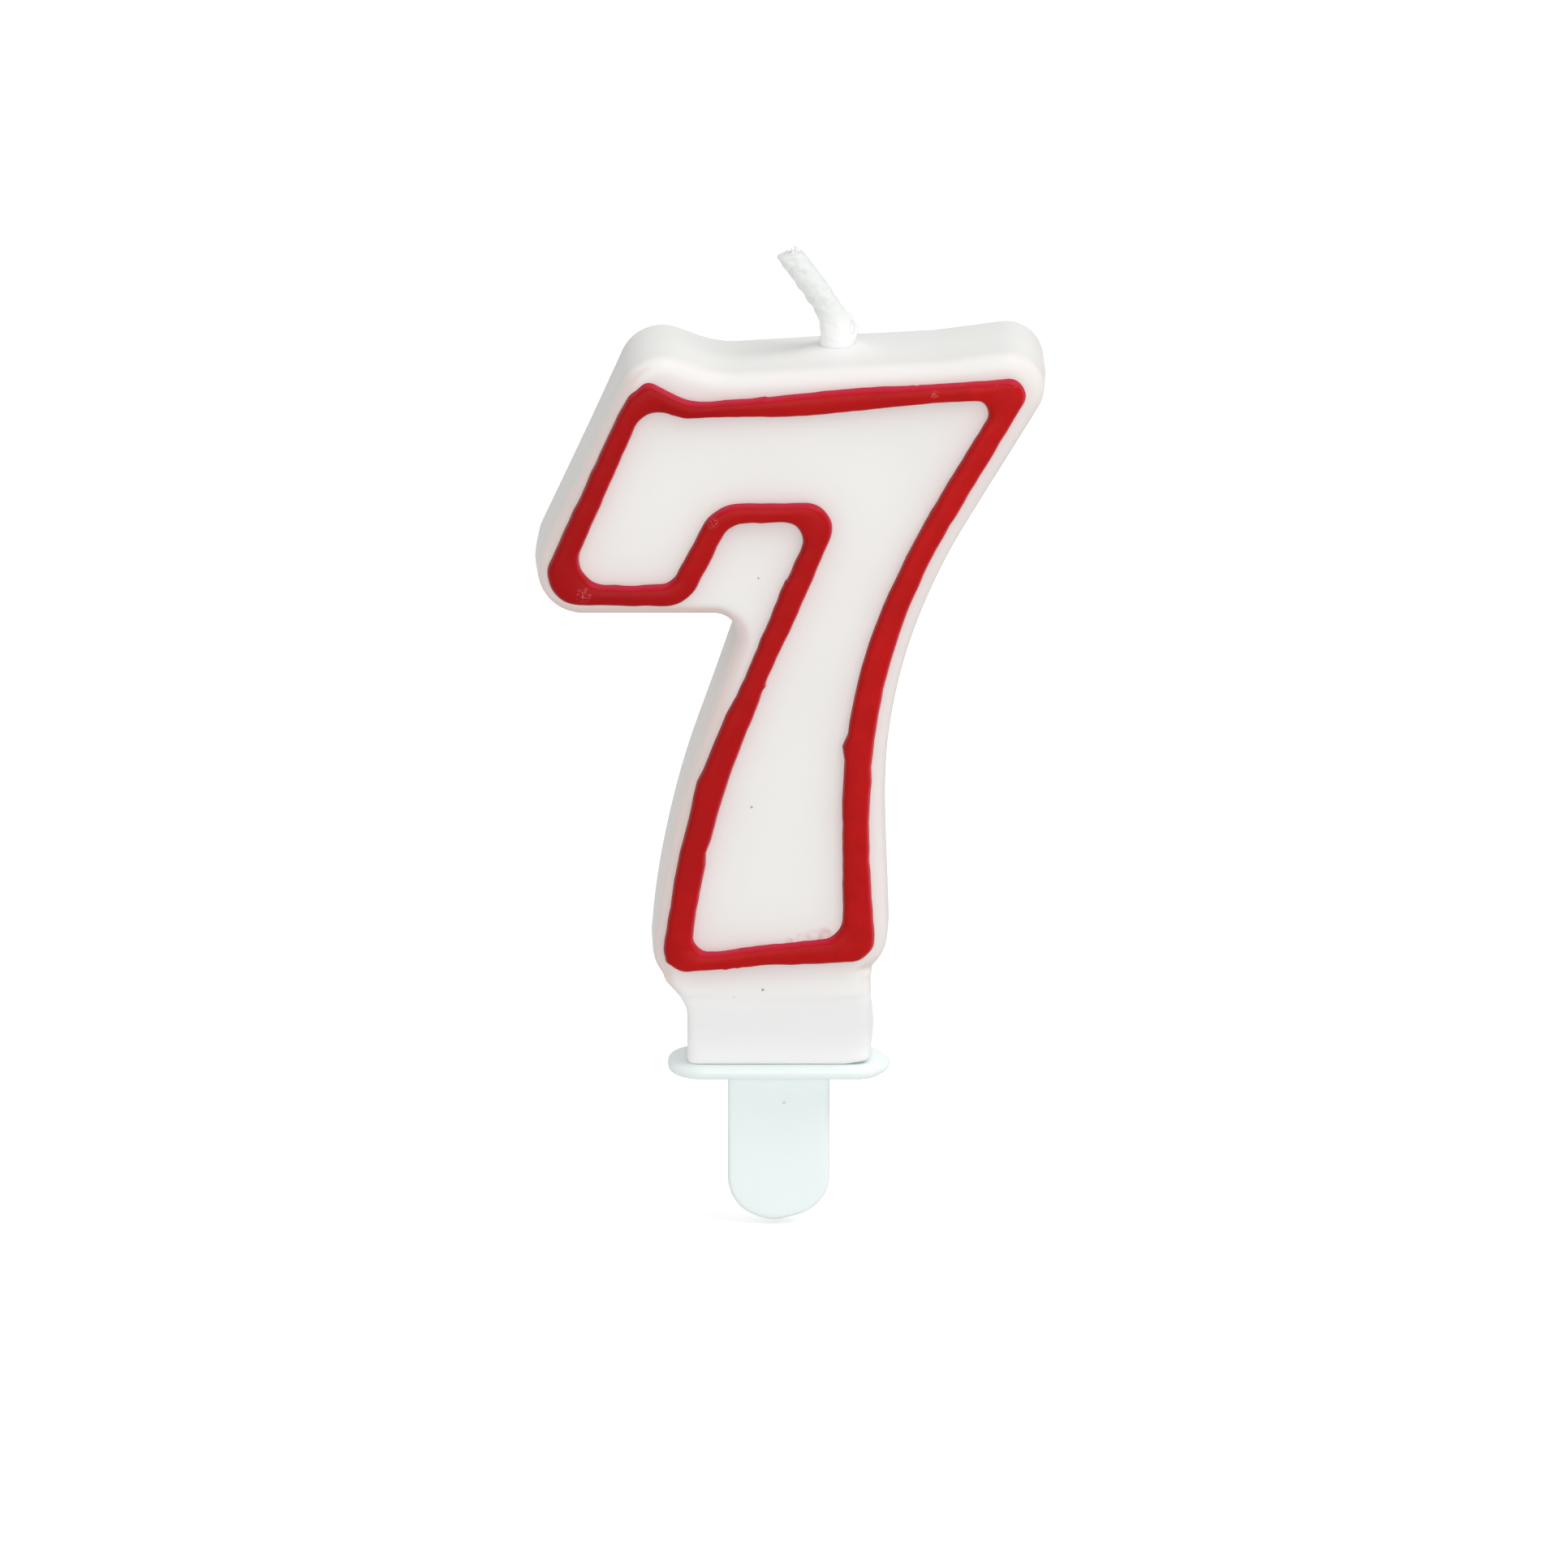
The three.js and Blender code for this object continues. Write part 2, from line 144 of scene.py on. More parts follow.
# Outline bead, laid on by hand
BEAD_WIDTH = 2.3 * MM
BEAD_HEIGHT = WAX_LOW.y - BEAD_LOW.y
BEAD_SHOULDER = 0.55 * MM
BEAD_SLOPE = 0.08 * MM
BEAD_CROWN = 0.05 * MM
BEAD_ROOT = 0.25 * MM  # how far it is sunk into the wax below
BEAD_FRAY = 0.025 * MM
FRAY_WAVES = (29, 47, 71, 113)  # how many go round the whole line
BEAD_SAG = 0.04  # the share of its height that it lacks in places
SAG_WAVES = (14, 31, 53)
BEAD_STRAY = {
    "barLeft": (-0.55 * MM, 0.15 * MM),
    "footLeft": (-0.35 * MM, 0.0),
    "backKnee": (0.3 * MM, 0.0),
    "topRight": (-0.7 * MM, -1.1 * MM),
    "dip": (-2.0 * MM, -0.9 * MM),
    "topLeft": (-1.3 * MM, -0.95 * MM),
}
# How the bead's edges differ from those of an even line at its corners, in millimetres: how far
# the outer edge's corner strays across and up, and its radius, and the same for the inner edge
BEAD_EDGES = {
    "barLeft": ((0.0, 0.1, 3.0), (-0.25, -0.3, 2.5)),
    "barHook": ((0.15, 0.1, 3.4), (0.05, -0.1, 2.1)),
    "hookLeft": ((0.1, 0.35, 2.6), (0.1, -0.1, 4.0)),
    "hookRight": ((0.45, 0.5, 1.8), (0.0, 0.05, 2.5)),
    "shin": ((0.0, 0.0, 70.0), (0.4, 0.0, 70.0)),
    "footLeft": ((-0.2, 0.05, 2.1), (0.0, -0.5, 1.4)),
    "footRight": ((0.1, -0.1, 2.0), (-0.3, 0.1, 2.1)),
    "backKnee": ((0.1, 0.0, 56.0), (0.0, 0.0, 56.0)),
    "topRight": ((0.2, 0.25, 1.65), (0.45, 0.5, 1.2)),
    "dip": ((-0.2, -0.1, 5.0), (-0.6, 0.75, 4.0)),
    "topLeft": ((0.15, 0.2, 1.8), (-0.3, 0.2, 2.5)),
}
# Marks on the front bead's edges, in millimetres: where each is across and up, how far out it
# stands, and how far it reaches before and after along the line
OUTER_MARKS = (
    (-4.0, 41.0, -0.18, 4.0, 4.0),
    (8.8, 15.5, 0.32, 2.0, 3.0),
    (8.5, 23.5, -0.1, 2.5, 2.5),
    (6.5, 68.5, 0.36, 6.0, 5.0),
    (-13.5, 68.8, -0.55, 0.9, 1.6),
    (-0.5, 11.9, -0.17, 4.0, 2.5),
    (-9.2, 27.0, -0.12, 1.5, 2.5),
    (-8.3, 30.7, 0.24, 0.15, 1.8),
    (-8.9, 27.3, 0.1, 0.1, 1.2),
    (-10.8, 12.4, 0.15, 0.3, 0.3),
    (-5.0, 11.6, 0.1, 0.15, 0.3),
    (-3.9, 11.7, 0.08, 0.15, 0.25),
    (8.7, 30.0, 0.1, 0.4, 0.4),
    (0.8, 49.9, 0.15, 0.15, 2.0),
    (-1.3, 67.8, 0.12, 0.2, 0.8),
    (12.9, 68.9, -0.15, 0.2, 0.12),
)
INNER_MARKS = (
    (-0.8, 41.0, -0.22, 3.5, 3.5),
    (2.5, 66.0, 0.68, 6.5, 6.0),
    (15.5, 66.6, -0.28, 4.0, 4.0),
    (11.5, 51.0, -0.18, 6.0, 6.0),
    (-5.0, 14.0, -0.22, 2.0, 1.5),
    (-14.0, 49.6, -0.15, 1.5, 1.5),
    (-7.2, 17.5, -0.12, 1.5, 1.5),
    (-1.3, 39.6, 0.12, 0.15, 0.3),
    (-6.6, 23.7, -0.2, 0.25, 0.25),
    (6.0, 33.3, 0.36, 0.35, 0.35),
)

# Wax round the outline
WAX_THICKNESS = WAX_HIGH.y - WAX_LOW.y
FACE_MARGIN = 1.1 * MM
FACE_EDGE = 0.45 * MM
FRONT_EDGE = 1.45 * MM
BACK_EDGE = 0.8 * MM
SIDE_DRAFT = 0.2 * MM
FOOT_SKIRT = 0.4 * MM
FLAG_TUCK = np.array((0.2 * MM, 0.6 * MM))
FLAG_RADIUS = 1.5 * MM
NOTCH_REACH = 10.2 * MM
NOTCH_RADIUS = 4.9 * MM
KNEE_HEIGHT = 22.0 * MM
KNEE_RADIUS = 85 * MM
WAX_STEM_LEAN = 19.6 * DEGREE
WAX_DIP_RADIUS = 12 * MM
TOP_TURN_RUN = 8.0 * MM
TOP_TURN_DROP = 1.1 * MM
TOP_TURN_RADIUS = 14 * MM
WAX_OFFSET = BEAD_WIDTH / 2 + FACE_MARGIN + FACE_EDGE + SIDE_DRAFT
FACE_RIM = (WAX_THICKNESS / 2 - 1.2 * MM, WAX_THICKNESS / 2 - 0.2 * MM)
FACE_SINK = 0.05 * MM
SWELL = 0.05 * MM  # height of the soft waves on its faces and its sides
FACE_WAVE = 16 * MM
SIDE_WAVE = 12 * MM

# Red that shows through the wax, less on the clean neck and where painted light brightens the wax round
# the wick's root
STAIN_REACH = 1.45 * MM
STAIN_LIMIT = 1.4
LINE_SHARE = 0.5  # what each edge of the bead gives
CLEAN_BELOW = (-1.5 * MM, 2.5 * MM)  # heights from where the neck meets the numeral
LIT_ROOT = (-3.0 * MM, -1.0 * MM)  # heights, from where the wick leaves the wax, of the painted light round its root
LIT_ROOT_REACH = 2.6 * MM
# Painted shade, darker and pinker, on each kind of surface by which way it faces: its strength, and how
# far the surface leans that way, as a part of its normal, where the painted shade starts and where it is
# full
SHADE_BLUSH = {
    "left edge": (1.15, 0.05, 0.35),
    "left wall": (0.2, 0.3, 0.8),
    "right edge": (0.4, 0.05, 0.35),
    "right wall": (0.5, 0.3, 0.9),
    "underside": (1.7, 0.1, 0.6),
}
EDGE_LEAN = (0.15, 0.6)  # leans, to the front or back, that tell a rounded edge from a wall
TOP_LEAN = (0.35, 0.7)  # upwards, where the left edge has no painted shade
RIGHT_LEAN = (0.3, 0.7)  # to the right, where the underside has less
RIGHT_UNDERSIDE_LOSS = 0.6
HIGH_WALL = (55 * MM, 68 * MM)  # heights over which the right wall's painted shade fades
HIGH_WALL_LOSS = 0.4

# Wick
WICK_DIAMETER = 2.4 * MM
WICK_CLEARANCE = 0.3 * MM
WICK_FOOT_WALL = 1.5 * MM
WICK_FROM_HOOK = 0.95 * MM
# Its free end's line, across and up from where it leaves the wax, in millimetres
WICK_FREE_END = (
    (0.0, 0.0),
    (-0.1, 1.2),
    (-0.15, 2.2),
    (-0.4, 3.1),
    (-0.85, 4.0),
    (-1.75, 5.5),
    (-2.95, 7.2),
    (-4.45, 9.25),
)
# Its radius at heights above that place, in millimetres
WICK_RADII = (
    (-0.7, 1.2),
    (0.0, 1.3),
    (0.4, 1.62),
    (0.9, 1.6),
    (1.4, 1.48),
    (2.6, 1.42),
    (3.3, 1.34),
    (4.0, 1.24),
    (9.5, 1.16),
)
WICK_CUT = 24 * DEGREE
WICK_CUT_RUN = 2.0 * MM
WICK_TIP = ((0.9, 0.08 * MM), (0.6, 0.14 * MM))  # how wide its last rings are, and how far on
WICK_TUFT = 0.06 * MM
BRAID_LAY = 3.4 * MM
BRAID_RELIEF = 0.16 * MM
BRAID_MIDDLE = 0.85  # the part of a strand's height that lies on the wick's radius
BRAID_FREE = (3.0, 4.5)  # heights over which the braid comes free of the wax, in millimetres
ROOT_RELIEF = 0.3  # the share of its relief that the braid has below them
# A strand that peels off its root, in millimetres from the same place
STRAND = ((1.35, 0.6), (1.62, 1.2), (1.74, 1.9), (1.66, 2.6), (1.2, 3.3), (0.6, 3.9), (0.0, 4.6))
STRAND_RADIUS = 0.24 * MM
# Fibres of the cut end: how far right and front, as shares of their spread, and how long
FIBRES = (
    (-0.75, 0.3, 0.3 * MM),
    (-0.1, -0.6, 0.15 * MM),
    (0.4, 0.4, 0.3 * MM),
    (0.75, -0.1, 0.15 * MM),
)
FIBRE_RADII = (0.2 * MM, 0.14 * MM)
FIBRE_SPREAD = 0.9 * MM
FIBRE_SPLAY = 0.3 * MM
FIBRE_ROOT = 0.6 * MM
ROUGH_FROM = (0.6 * MM, 1.2 * MM)  # heights above the wax over which the cotton turns rough
ROUGH_WAVE = 0.9 * MM
ROUGHNESS = (0.03 * MM, 0.03 * MM, 0.025 * MM)
SOAKED_TO = (2.0 * MM, 4.5 * MM)  # heights over which the wax in it ends
MELT_RISE = 0.85 * MM  # how high melted wax has climbed round the wick
MELT_REACH = 3.3 * MM
MELT_TOP = (-2.0 * MM, -0.6 * MM)  # heights, from where the wick leaves the wax, of what climbed

# Dust, smears of red, and pale scuffs with painted highlights: where each is, and its radius, in
# millimetres
SPECKS = (
    (-1.5, -6.35, 9.75, 0.2),
    (-4.2, -6.2, 9.0, 0.14),
    (-2.55, -6.35, 27.7, 0.16),
    (-1.9, -6.35, 50.1, 0.12),
)
SPIKE_SPECKS = ((0.5, -1.1, -2.9, 0.2),)
SMEARS = (
    (4.3, -6.4, 15.2, 0.9),
    (3.3, -6.4, 15.0, 0.9),
    (2.3, -6.4, 14.8, 0.8),
    (0.9, -6.4, 14.6, 0.6),
)
SCUFF_HIGHLIGHTS = (
    (-18.3, -7.3, 48.7, 0.9),
    (-6.2, -7.3, 55.7, 0.7),
    (14.6, -7.3, 68.3, 0.5),
    (20.6, -7.3, 69.3, 0.35),
    (22.3, -7.3, 69.0, 0.35),
)

# The red coat, which thins from left to right and in waves, and the leans of its sides where a painted
# highlight and painted shade go
COAT_RUN = 40 * MM
COAT_RIPPLE = 0.2
COAT_WAVE = 14 * MM
LIT_UPWARD = (0.35, 0.85)
LIT_RIGHTWARD = (0.5, 0.9)
LIT_RIGHT_SHARE = 0.8
SHADED_LEFTWARD = (0.3, 0.8)

# Fineness
ARC_STEP = 6 * DEGREE
ARC_SAG = 0.004 * MM
LINE_STEP = 0.35 * MM
BEAD_STEP = 0.14 * MM
LEAST_RADIUS = 0.15 * MM
CORNER_ROOM = 0.98
NECK_RINGS = 48
SHOULDER_POINTS = 7
CROWN_SHARES = np.array((0.75, 0.5, 0.25, 0))
STRAIGHT_STEPS = 60
BRAID_SIDES = 48
FIBRE_STEPS = 6
BATCH = 4000  # points worked out at a time

# Camera and stage
PHOTO_PX = 1932
PX_PER_METRE = 13070  # at the origin's distance
ORIGIN_PX = (959.5, 1318.0)
CAMERA_ELEVATION = 16.5 * DEGREE
CAMERA_LENS = 1000
CAMERA_SENSOR = 36
LAMP_DISTANCE = 1.4
LAMP_SIZE = 1.0
TOP_LAMP = (0.54, -0.22, 0.81)  # the way to each lamp from the candle's middle
FRONT_LAMP = (0.0, -1.0, 0.05)
LEFT_LAMP = (-1.0, -0.1, 0.25)
FLOOR_HALF = 4.0
FLOOR_GAP = 0.3 * MM
FLOOR_COLOUR = (0.8, 0.8, 0.8)


# Outlines


def above(point, height, lean):
    """The point a height above another, along a line that leans right of upright."""
    return np.array((point[0] + height * math.tan(lean), point[1] + height))


def line_points():
    """The corners of the line, counter-clockwise from the bar's lower left."""
    foot_left = np.array((FOOT_SHIFT - FOOT_WIDTH / 2, FOOT_HEIGHT))
    foot_right = np.array((FOOT_SHIFT + FOOT_WIDTH / 2, FOOT_HEIGHT + FOOT_RISE))
    shin = above(foot_left, SHIN_HEIGHT, SHIN_LEAN)
    hook_right = above(shin, HOOK_TOP - shin[1], STEM_LEAN)
    hook_left = hook_right - (HOOK_WIDTH, 0)
    bar_hook = above(hook_left, -HOOK_RISE, HOOK_LEAN)
    bar_left = bar_hook - (FLAG_WIDTH, 0)
    top_left = above(bar_left, BAR_HEIGHT, FLAG_LEAN)
    dip = top_left + (DIP_RUN, -DIP_DEPTH)
    back_knee = above(foot_right, BACK_KNEE, BACK_FOOT_LEAN)
    top_right = above(back_knee, top_left[1] + TOP_RISE - back_knee[1], BACK_LEAN)
    return {
        "barLeft": bar_left,
        "barHook": bar_hook,
        "hookLeft": hook_left,
        "hookRight": hook_right,
        "shin": shin,
        "footLeft": foot_left,
        "footRight": foot_right,
        "backKnee": back_knee,
        "topRight": top_right,
        "dip": dip,
        "topLeft": top_left,
    }


def bead_corners():
    """The bead's corners and their radii: those of the line, moved where the bead strays."""
    line = line_points().items()
    return [(at + BEAD_STRAY.get(name, (0.0, 0.0)), LINE_RADIUS[name]) for name, at in line]


def wax_corners():
    """The wax's corners and their radii: it fills the hook, and its left side bends higher up."""
    line = line_points()
    notch = line["barHook"] + (NOTCH_REACH, 0)
    knee = above(notch, KNEE_HEIGHT - notch[1], WAX_STEM_LEAN)
    skirt = np.array((0, FOOT_SKIRT))
    return [
        (line["barLeft"] + FLAG_TUCK, FLAG_RADIUS),
        (notch + (0, FLAG_TUCK[1]), NOTCH_RADIUS),
        (knee, KNEE_RADIUS),
        (line["footLeft"] - skirt, LINE_RADIUS["footLeft"]),
        (line["footRight"] - skirt, LINE_RADIUS["footRight"]),
        (line["backKnee"], LINE_RADIUS["backKnee"]),
        (line["topRight"], LINE_RADIUS["topRight"]),
        (line["topRight"] - (TOP_TURN_RUN, TOP_TURN_DROP), TOP_TURN_RADIUS),
        (line["dip"], WAX_DIP_RADIUS),
        (line["topLeft"], LINE_RADIUS["topLeft"]),
    ]


def rectangle(left, right, bottom, top, low_radius, high_radius):
    """A rectangle's corners and their radii, counter-clockwise."""
    return [
        (np.array((left, bottom)), low_radius),
        (np.array((right, bottom)), low_radius),
        (np.array((right, top)), high_radius),
        (np.array((left, top)), high_radius),
    ]


def bends(corners):
    """The sides of a polygon, how far it turns at each corner, and the radius that fits there."""
    at = np.array([point for point, _ in corners])
    radius = np.array([radius for _, radius in corners])
    sides = np.roll(at, -1, axis=0) - at
    before = np.roll(sides, 1, axis=0)
    cross = before[:, 0] * sides[:, 1] - before[:, 1] * sides[:, 0]
    turn = np.arctan2(cross, (before * sides).sum(axis=1))
    reach = radius * np.tan(np.abs(turn) / 2)
    length = np.hypot(*sides.T)
    room_before = CORNER_ROOM * np.roll(length, 1) / (reach + np.roll(reach, 1))
    room_after = CORNER_ROOM * length / (reach + np.roll(reach, -1))
    radius = radius * np.minimum(1, np.minimum(room_before, room_after))
    return at, before, turn, radius, length


def step_counts(corners, line_step=LINE_STEP):
    """How many steps the arcs and the straights of a polygon with rounded corners take."""
    _, _, turn, radius, length = bends(corners)
    finest = 2 * np.arccos(1 - ARC_SAG / np.maximum(radius, MM))
    arcs = np.ceil(np.abs(turn) / np.minimum(ARC_STEP, finest)).astype(int)
    return arcs, np.ceil(length / line_step).astype(int)


def spread(corners, offset):
    """The corners of a polygon whose sides are moved out by an offset."""
    at, before, turn, _, _ = bends(corners)
    middle = np.arctan2(before[:, 1], before[:, 0]) - math.pi / 2 + turn / 2
    reach = offset / np.cos(turn / 2)
    return at + reach[:, None] * np.column_stack((np.cos(middle), np.sin(middle)))


def outline(corners, offset=0.0, counts=None):
    """Points round a polygon with rounded corners, grown by an offset; as many at every offset."""
    at, before, turn, radius, length = bends(corners)
    arc_steps, line_steps = counts or step_counts(corners)
    arcs = []
    for i in range(len(corners)):
        side = math.copysign(1, turn[i])
        grown = max(LEAST_RADIUS, radius[i] + side * offset)
        outwards = math.atan2(before[i][1], before[i][0]) - math.pi / 2
        middle = outwards + turn[i] / 2
        reach = (offset - side * grown) / math.cos(turn[i] / 2)
        centre = at[i] + reach * np.array((math.cos(middle), math.sin(middle)))
        angles = outwards + turn[i] * np.linspace(0, 1, arc_steps[i] + 1)
        arcs.append(centre + side * grown * np.column_stack((np.cos(angles), np.sin(angles))))
    points = []
    for i, arc in enumerate(arcs):
        gap = arcs[(i + 1) % len(arcs)][0] - arc[-1]
        share = np.linspace(0, 1, line_steps[i] + 1)[1:-1]
        points += [arc, arc[-1] + share[:, None] * gap]
    return np.concatenate(points)


# Meshes


def place(name, points, faces):
    """A new object with this mesh, with all its faces pointing out."""
    data = bpy.data.meshes.new(name)
    data.from_pydata(np.asarray(points).tolist(), [], faces)
    build = bmesh.new()
    build.from_mesh(data)
    bmesh.ops.recalc_face_normals(build, faces=build.faces)
    build.to_mesh(data)
    build.free()
    data.shade_smooth()
    piece = bpy.data.objects.new(name, data)
    bpy.context.scene.collection.objects.link(piece)
    return piece


def loft(name, rings, closed=False):
    """A new object: a surface through rings of points, with flat ends unless it is closed."""
    count, size = len(rings), len(rings[0])
    faces = []
    for r in range(count if closed else count - 1):
        low, high = r * size, (r + 1) % count * size
        for i in range(size):
            j = (i + 1) % size
            faces.append((low + i, low + j, high + j, high + i))
    if not closed:
        faces.append(tuple(reversed(range(size))))
        faces.append(tuple(range((count - 1) * size, count * size)))
    return place(name, np.concatenate(rings), faces)


def lying(points, z):
    """Flat points as a level ring at this height."""
    return np.column_stack((points[:, 0], points[:, 1], np.full(len(points), z)))


def standing(points, y):
    """Flat points as an upright ring, this far behind the candle's middle."""
    return np.column_stack((points[:, 0], np.full(len(points), y), points[:, 1]))


def edge_profile(radius, steps=6):
    """How far in and how high the points of a rounded edge lie, from the side to the flat."""
    angles = np.linspace(0, math.pi / 2, steps + 1)
    return radius * (1 - np.cos(angles)), radius * np.sin(angles)


def plate_rings(corners, thickness, edge, ring):
    """Rings of a plate that is as thick at both sides of its middle, with rounded edges."""
    inset, rise = edge_profile(edge)
    at = thickness / 2 - edge + rise
    inset = np.concatenate((inset[::-1], inset))
    at = np.concatenate((-at[::-1], at))
    return [ring(outline(corners, -a), b) for a, b in zip(inset, at)]


def settle(piece):
    """Makes the piece's mesh what its modifiers give."""
    graph = bpy.context.evaluated_depsgraph_get()
    settled = bpy.data.meshes.new_from_object(piece.evaluated_get(graph))
    rough = piece.data
    piece.modifiers.clear()
    piece.data = settled
    bpy.data.meshes.remove(rough)
    settled.name = piece.name
    settled.shade_smooth()


def combine(piece, operation, *others):
    """Joins the others to the piece, or cuts them from it."""
    for other in others:
        change = piece.modifiers.new("combine", "BOOLEAN")
        change.operation = operation
        change.solver = "MANIFOLD"
        change.object = other
        settle(piece)
        bpy.data.objects.remove(other, do_unlink=True)


def melt(piece, voxel, softening):
    """Turns the piece into one even skin, with its sharp edges softened."""
    skin = piece.modifiers.new("skin", "REMESH")
    skin.mode = "VOXEL"
    skin.voxel_size = voxel
    soften = piece.modifiers.new("soften", "SMOOTH")
    soften.factor = 0.5
    soften.iterations = softening
    settle(piece)


def rows_of(layer, name):
    """The vectors in a layer of a mesh, as rows."""
    vectors = np.empty(len(layer) * 3)
    layer.foreach_get(name, vectors)
    return vectors.reshape(-1, 3)


def points_of(piece):
    """The piece's points."""
    return rows_of(piece.data.vertices, "co")


def normals_of(piece):
    """Which way the piece's surface faces at each point."""
    return rows_of(piece.data.vertex_normals, "vector")


def move_points(piece, points):
    """Puts the piece's points here."""
    piece.data.vertices.foreach_set("co", np.ascontiguousarray(points, dtype=np.float32).ravel())
    piece.data.update()


def keep_values(piece, **layers):
    """Stores numbers for each point of the piece, for its material."""
    for name, values in layers.items():
        layer = piece.data.attributes.new(name, "FLOAT", "POINT")
        layer.data.foreach_set("value", np.ascontiguousarray(values, dtype=np.float32))


def smooth_step(low, high, value):
    """0 below low, 1 above high, and smooth between."""
    share = np.clip((value - low) / (high - low), 0, 1)
    return share * share * (3 - 2 * share)


def mound(away, reach):
    """1 in the middle, and smoothly less further away."""
    return np.exp(-((away / reach) ** 2))


def ripple(points, wavelength, seed, count=9):
    """Smooth random waves through space, mostly between -1 and 1."""
    draw = np.random.default_rng(seed)
    ways = draw.normal(size=(count, 3))
    ways /= np.linalg.norm(ways, axis=1)[:, None]
    ways *= (2 * math.pi / wavelength) / draw.uniform(0.7, 1.5, count)[:, None]
    return np.sin(points @ ways.T + draw.uniform(0, 2 * math.pi, count)).sum(axis=1) / math.sqrt(count)


def wander(share, waves, seed):
    """A smooth random curve along a closed line, whose share runs from 0 to 1."""
    draw = np.random.default_rng(seed)
    total = np.zeros(len(share))
    for wave in waves:
        total += draw.normal() * np.sin(2 * math.pi * (wave * share + draw.uniform()))
    return total / math.sqrt(len(waves))


def dress(piece, body, node, finish):
    """Puts the piece in the frame: what it rides on, stands for and is made of."""
    piece.data.materials.clear()
    piece.data.materials.append(finish)
    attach(piece, body)
    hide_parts(node)


# Materials


class Value:
    """A number that varies over a surface; sums with it add Math nodes."""

    def __init__(self, finish, socket):
        self.finish = finish
        self.socket = socket

    def maths(self, operation, *values):
        """What a Math node makes of values and numbers."""
        made = self.finish.node("ShaderNodeMath", {"operation": operation}, dict(enumerate(values)))
        return Value(self.finish, made.outputs[0])

    def __add__(self, other):
        return self.maths("ADD", self, other)

    def __sub__(self, other):
        return self.maths("SUBTRACT", self, other)

    def __rsub__(self, other):
        return self.maths("SUBTRACT", other, self)

    def __mul__(self, other):
        return self.maths("MULTIPLY", self, other)

    __radd__ = __add__
    __rmul__ = __mul__


MATERIAL_END = "ShaderNodeOutputMaterial"


class Finish:
    """A procedural material, or the surroundings' light, made node by node."""

    def __init__(self, owner):
        self.owner = owner
        owner.use_nodes = True
        self.tree = owner.node_tree
        self.tree.nodes.clear()

    def node(self, kind, settings=None, sockets=None):
        """Adds a node: its settings first, then the values or links of its sockets."""
        made = self.tree.nodes.new(kind)
        for name, setting in (settings or {}).items():
            setattr(made, name, setting)
        for name, given in (sockets or {}).items():
            if isinstance(given, Value):
                given = given.socket
            if isinstance(given, bpy.types.NodeSocket):
                self.tree.links.new(given, made.inputs[name])
            else:
                made.inputs[name].default_value = given
        return made

    def place(self):
        """Where a point of the piece is at rest."""
        return self.node("ShaderNodeTexCoord").outputs["Object"]

    def noise(self, size, detail=2, roughness=0.5):
        """Soft noise whose lumps are about this size."""
        sockets = {"Vector": self.place(), "Scale": 1 / size, "Detail": detail, "Roughness": roughness}
        return Value(self, self.node("ShaderNodeTexNoise", None, sockets).outputs["Fac"])

    def attribute(self, name, strength=1.0):
        """A number stored on the piece's points."""
        stored = self.node("ShaderNodeAttribute", {"attribute_name": name}).outputs["Fac"]
        return Value(self, stored) * strength

    def clamp(self, value, low, high, strength=1.0):
        """0 up to low, a strength from high on, and smooth between."""
        sockets = {"Value": value, "From Min": low, "From Max": high, "To Max": strength}
        made = self.node("ShaderNodeMapRange", {"interpolation_type": "SMOOTHSTEP"}, sockets)
        return Value(self, made.outputs["Result"])

    def between(self, value, low, high):
        """A number that goes from low to high as a value goes from 0 to 1."""
        return value * (high - low) + low

    def mix(self, factor, low, high):
        """A colour between two."""
        sockets = {0: factor, 6: low, 7: high}
        return self.node("ShaderNodeMix", {"data_type": "RGBA"}, sockets).outputs[2]

    def dots(self, places, base, colour, strength):
        """The base with a soft dot of another colour at each place."""
        for x, y, z, radius in np.array(places) * MM:
            sockets = {0: self.place(), 1: (x, y, z)}
            away = self.node("ShaderNodeVectorMath", {"operation": "DISTANCE"}, sockets)
            dot = 1 - self.clamp(away.outputs["Value"], radius / 2, radius)
            base = self.mix(dot * strength, base, rgba(colour))
        return base

    def bump(self, height, distance, strength):
        """A normal that follows a height."""
        sockets = {"Height": height, "Distance": distance, "Strength": strength}
        return self.node("ShaderNodeBump", None, sockets).outputs["Normal"]

    def end(self, kind, shader):
        """Ends the nodes in this shader."""
        self.node(kind, None, {"Surface": shader.outputs[0]})
        return self.owner

    def surface(self, **sockets):
        """Ends the material in one Principled shader."""
        named = {name.replace("_", " "): given for name, given in sockets.items()}
        return self.end(MATERIAL_END, self.node("ShaderNodeBsdfPrincipled", None, named))


def new_finish(name):
    """A material without nodes."""
    return Finish(bpy.data.materials.new(name))


def rgba(colour, factor=1.0):
    """A colour with an alpha of 1, made lighter or darker by a factor."""
    return tuple(min(1.0, part * factor) for part in colour) + (1.0,)


